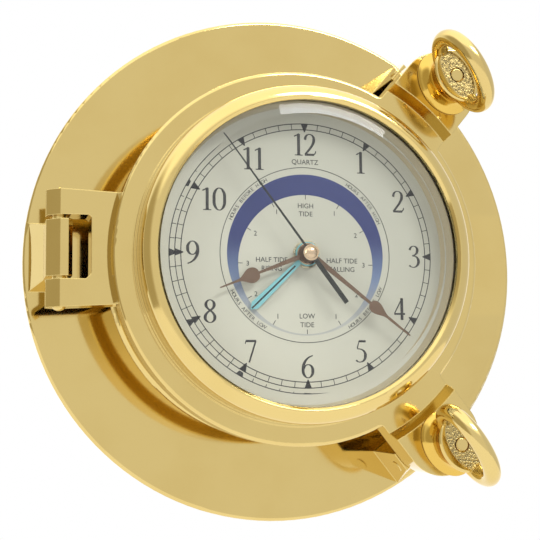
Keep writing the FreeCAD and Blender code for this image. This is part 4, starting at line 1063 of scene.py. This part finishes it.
# The room as mirrors see it: its front, then each side by the axis of the direction, where the side
# begins and where it is full, and its light; the floor shines as the low side does
FRONT_LIGHT, LOW_LIGHT = (1.0, 0.985, 1.02), (1.38, 1.36, 1.42)
ROOM_SIDES = (
    ("Z", 0.37, 0.60, (1.75, 1.75, 1.80)), ("Z", -0.14, -0.42, LOW_LIGHT),
    ("X", 0.50, 0.72, (0.90, 0.90, 0.98)), ("X", -0.62, -0.88, (0.60, 0.54, 0.42)),
    ("Y", 0.25, 0.75, (1.30, 1.30, 1.30)))
ROOM_SHADE, WHITE = (0.66, 0.66, 0.65), (1.0, 1.0, 1.0)


@dataclass
class Studio:
    """Pale floor, plain light and the camera of the photograph."""

    lens: float = 74.864
    sensor: float = 36.0
    azimuth: float = -14.754
    elevation: float = -6.126
    roll: float = -0.656
    distance: float = 485.05 * MM
    target: Triple = (-2.734 * MM, 0.0, -1.283 * MM)
    floor_height: float = -0.42
    floor_size: float = 2.4
    floor_grey: float = 0.80
    floor_rough: float = 0.9
    floor_glow: float = 0.9

    def camera(self) -> None:
        """Place the camera at the photograph's viewpoint."""
        azimuth, elevation = math.radians(self.azimuth), math.radians(self.elevation)
        back = Vector((math.sin(azimuth) * math.cos(elevation), -math.cos(azimuth) * math.cos(elevation),
                       math.sin(elevation)))
        data = bpy.data.cameras.new("camera")
        data.lens = self.lens
        data.sensor_width = self.sensor
        camera = bpy.data.objects.new("camera", data)
        bpy.context.scene.collection.objects.link(camera)
        place = Vector(self.target) + back * self.distance
        turn = (-back).to_track_quat("-Z", "Y").to_matrix().to_4x4()
        roll = Matrix.Rotation(math.radians(self.roll), 4, "Z")
        camera.matrix_world = Matrix.Translation(place) @ turn @ roll
        bpy.context.scene.camera = camera

    def _seen(self, tree: Tree, *names: str) -> Socket:
        """Return a mask that is 1 for rays of any of the named kinds."""
        paths = add_node(tree, "LightPath")
        mask = paths.outputs[names[0]]
        for name in names[1:]:
            mask = math_node("MAXIMUM", mask, paths.outputs[name])
        return mask

    def world(self) -> None:
        """Set a soft room: bright above, below and behind, a little darker at both sides."""
        world = bpy.data.worlds.new("room")
        bpy.context.scene.world = world
        world.use_nodes = True
        tree = world.node_tree
        tree.nodes.clear()
        split = split_axes(tree, add_node(tree, "TexCoord").outputs["Generated"])
        lit = FRONT_LIGHT
        for axis, start, full, light in ROOM_SIDES:
            lit = mix_colour(ramp(split.outputs[axis], start, full), lit, light)
        shade = mix_colour(self._seen(tree, "Is Glossy Ray", "Is Transmission Ray"), ROOM_SHADE, lit)
        colour = mix_colour(self._seen(tree, "Is Camera Ray"), shade, WHITE)
        background = add_node(tree, "Background")
        link(colour, background.inputs["Color"])
        output = add_node(tree, "OutputWorld")
        link(background.outputs[0], output.inputs["Surface"])

    def floor(self) -> None:
        """Lay a pale floor well below the clock."""
        start_piece()
        bpy.ops.mesh.primitive_plane_add(size=self.floor_size, location=(0.0, 0.0, self.floor_height))
        floor = active()
        floor.name = "studio_floor"
        material, tree, shader = new_material("pale_floor")
        set_inputs(shader, {"Base Color": (self.floor_grey,) * 3 + (1.0,), "Roughness": self.floor_rough})
        glow = add_node(tree, "Emission")
        mirrored = self._seen(tree, "Is Glossy Ray")
        link(mix_colour(mirrored, WHITE, LOW_LIGHT), glow.inputs["Color"])
        mask = self._seen(tree, "Is Camera Ray", "Is Glossy Ray", "Is Transmission Ray")
        mask = math_node("MULTIPLY", mask, self.floor_glow)
        mix_shaders(tree, mask, shader.outputs[0], glow.outputs[0])
        floor.data.materials.append(material)

    def _lamp(self, name: str, place: Triple, size: Pair, power: float, mirrored: bool = True) -> None:
        """Hang a softbox that faces the clock; polished metal may mirror it."""
        data = bpy.data.lights.new(name, "AREA")
        data.shape = "RECTANGLE"
        data.size, data.size_y = size
        data.energy = power
        lamp = bpy.data.objects.new(name, data)
        bpy.context.scene.collection.objects.link(lamp)
        lamp.visible_glossy = mirrored
        lamp.location = place
        lamp.rotation_mode = "QUATERNION"
        lamp.rotation_quaternion = (-Vector(place)).to_track_quat("-Z", "Y")

    def lamps(self) -> None:
        """Hang the key softbox above on the right and a low fill on the left."""
        self._lamp("key_softbox", (0.50, -0.92, 0.93), (0.62, 0.30), 9.0)
        self._lamp("left_softbox", (-1.15, -0.55, 0.35), (0.45, 0.9), 6.0, False)

    def build(self) -> None:
        """Set up the whole studio."""
        bpy.context.scene.view_settings.view_transform = "Standard"
        self.camera()
        self.world()
        self.floor()
        self.lamps()
        LOG.info("studio ready")


def corners(box: tuple[Vector, Vector]) -> list[list[float]]:
    """Return a box's two corners as plain lists."""
    return [list(box[0]), list(box[1])]


def main() -> None:
    """Dress the frame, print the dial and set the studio."""
    logging.basicConfig(level=logging.INFO, format="%(message)s")
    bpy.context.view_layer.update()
    wardrobe = Wardrobe()
    wardrobe.dress_frame(frame["nodes"])
    Dial(wardrobe).build()
    TideHandInlay(wardrobe).build()
    Studio().build()
    start_piece()
    LOG.info("sizes written")


if __name__ == "__main__":
    main()
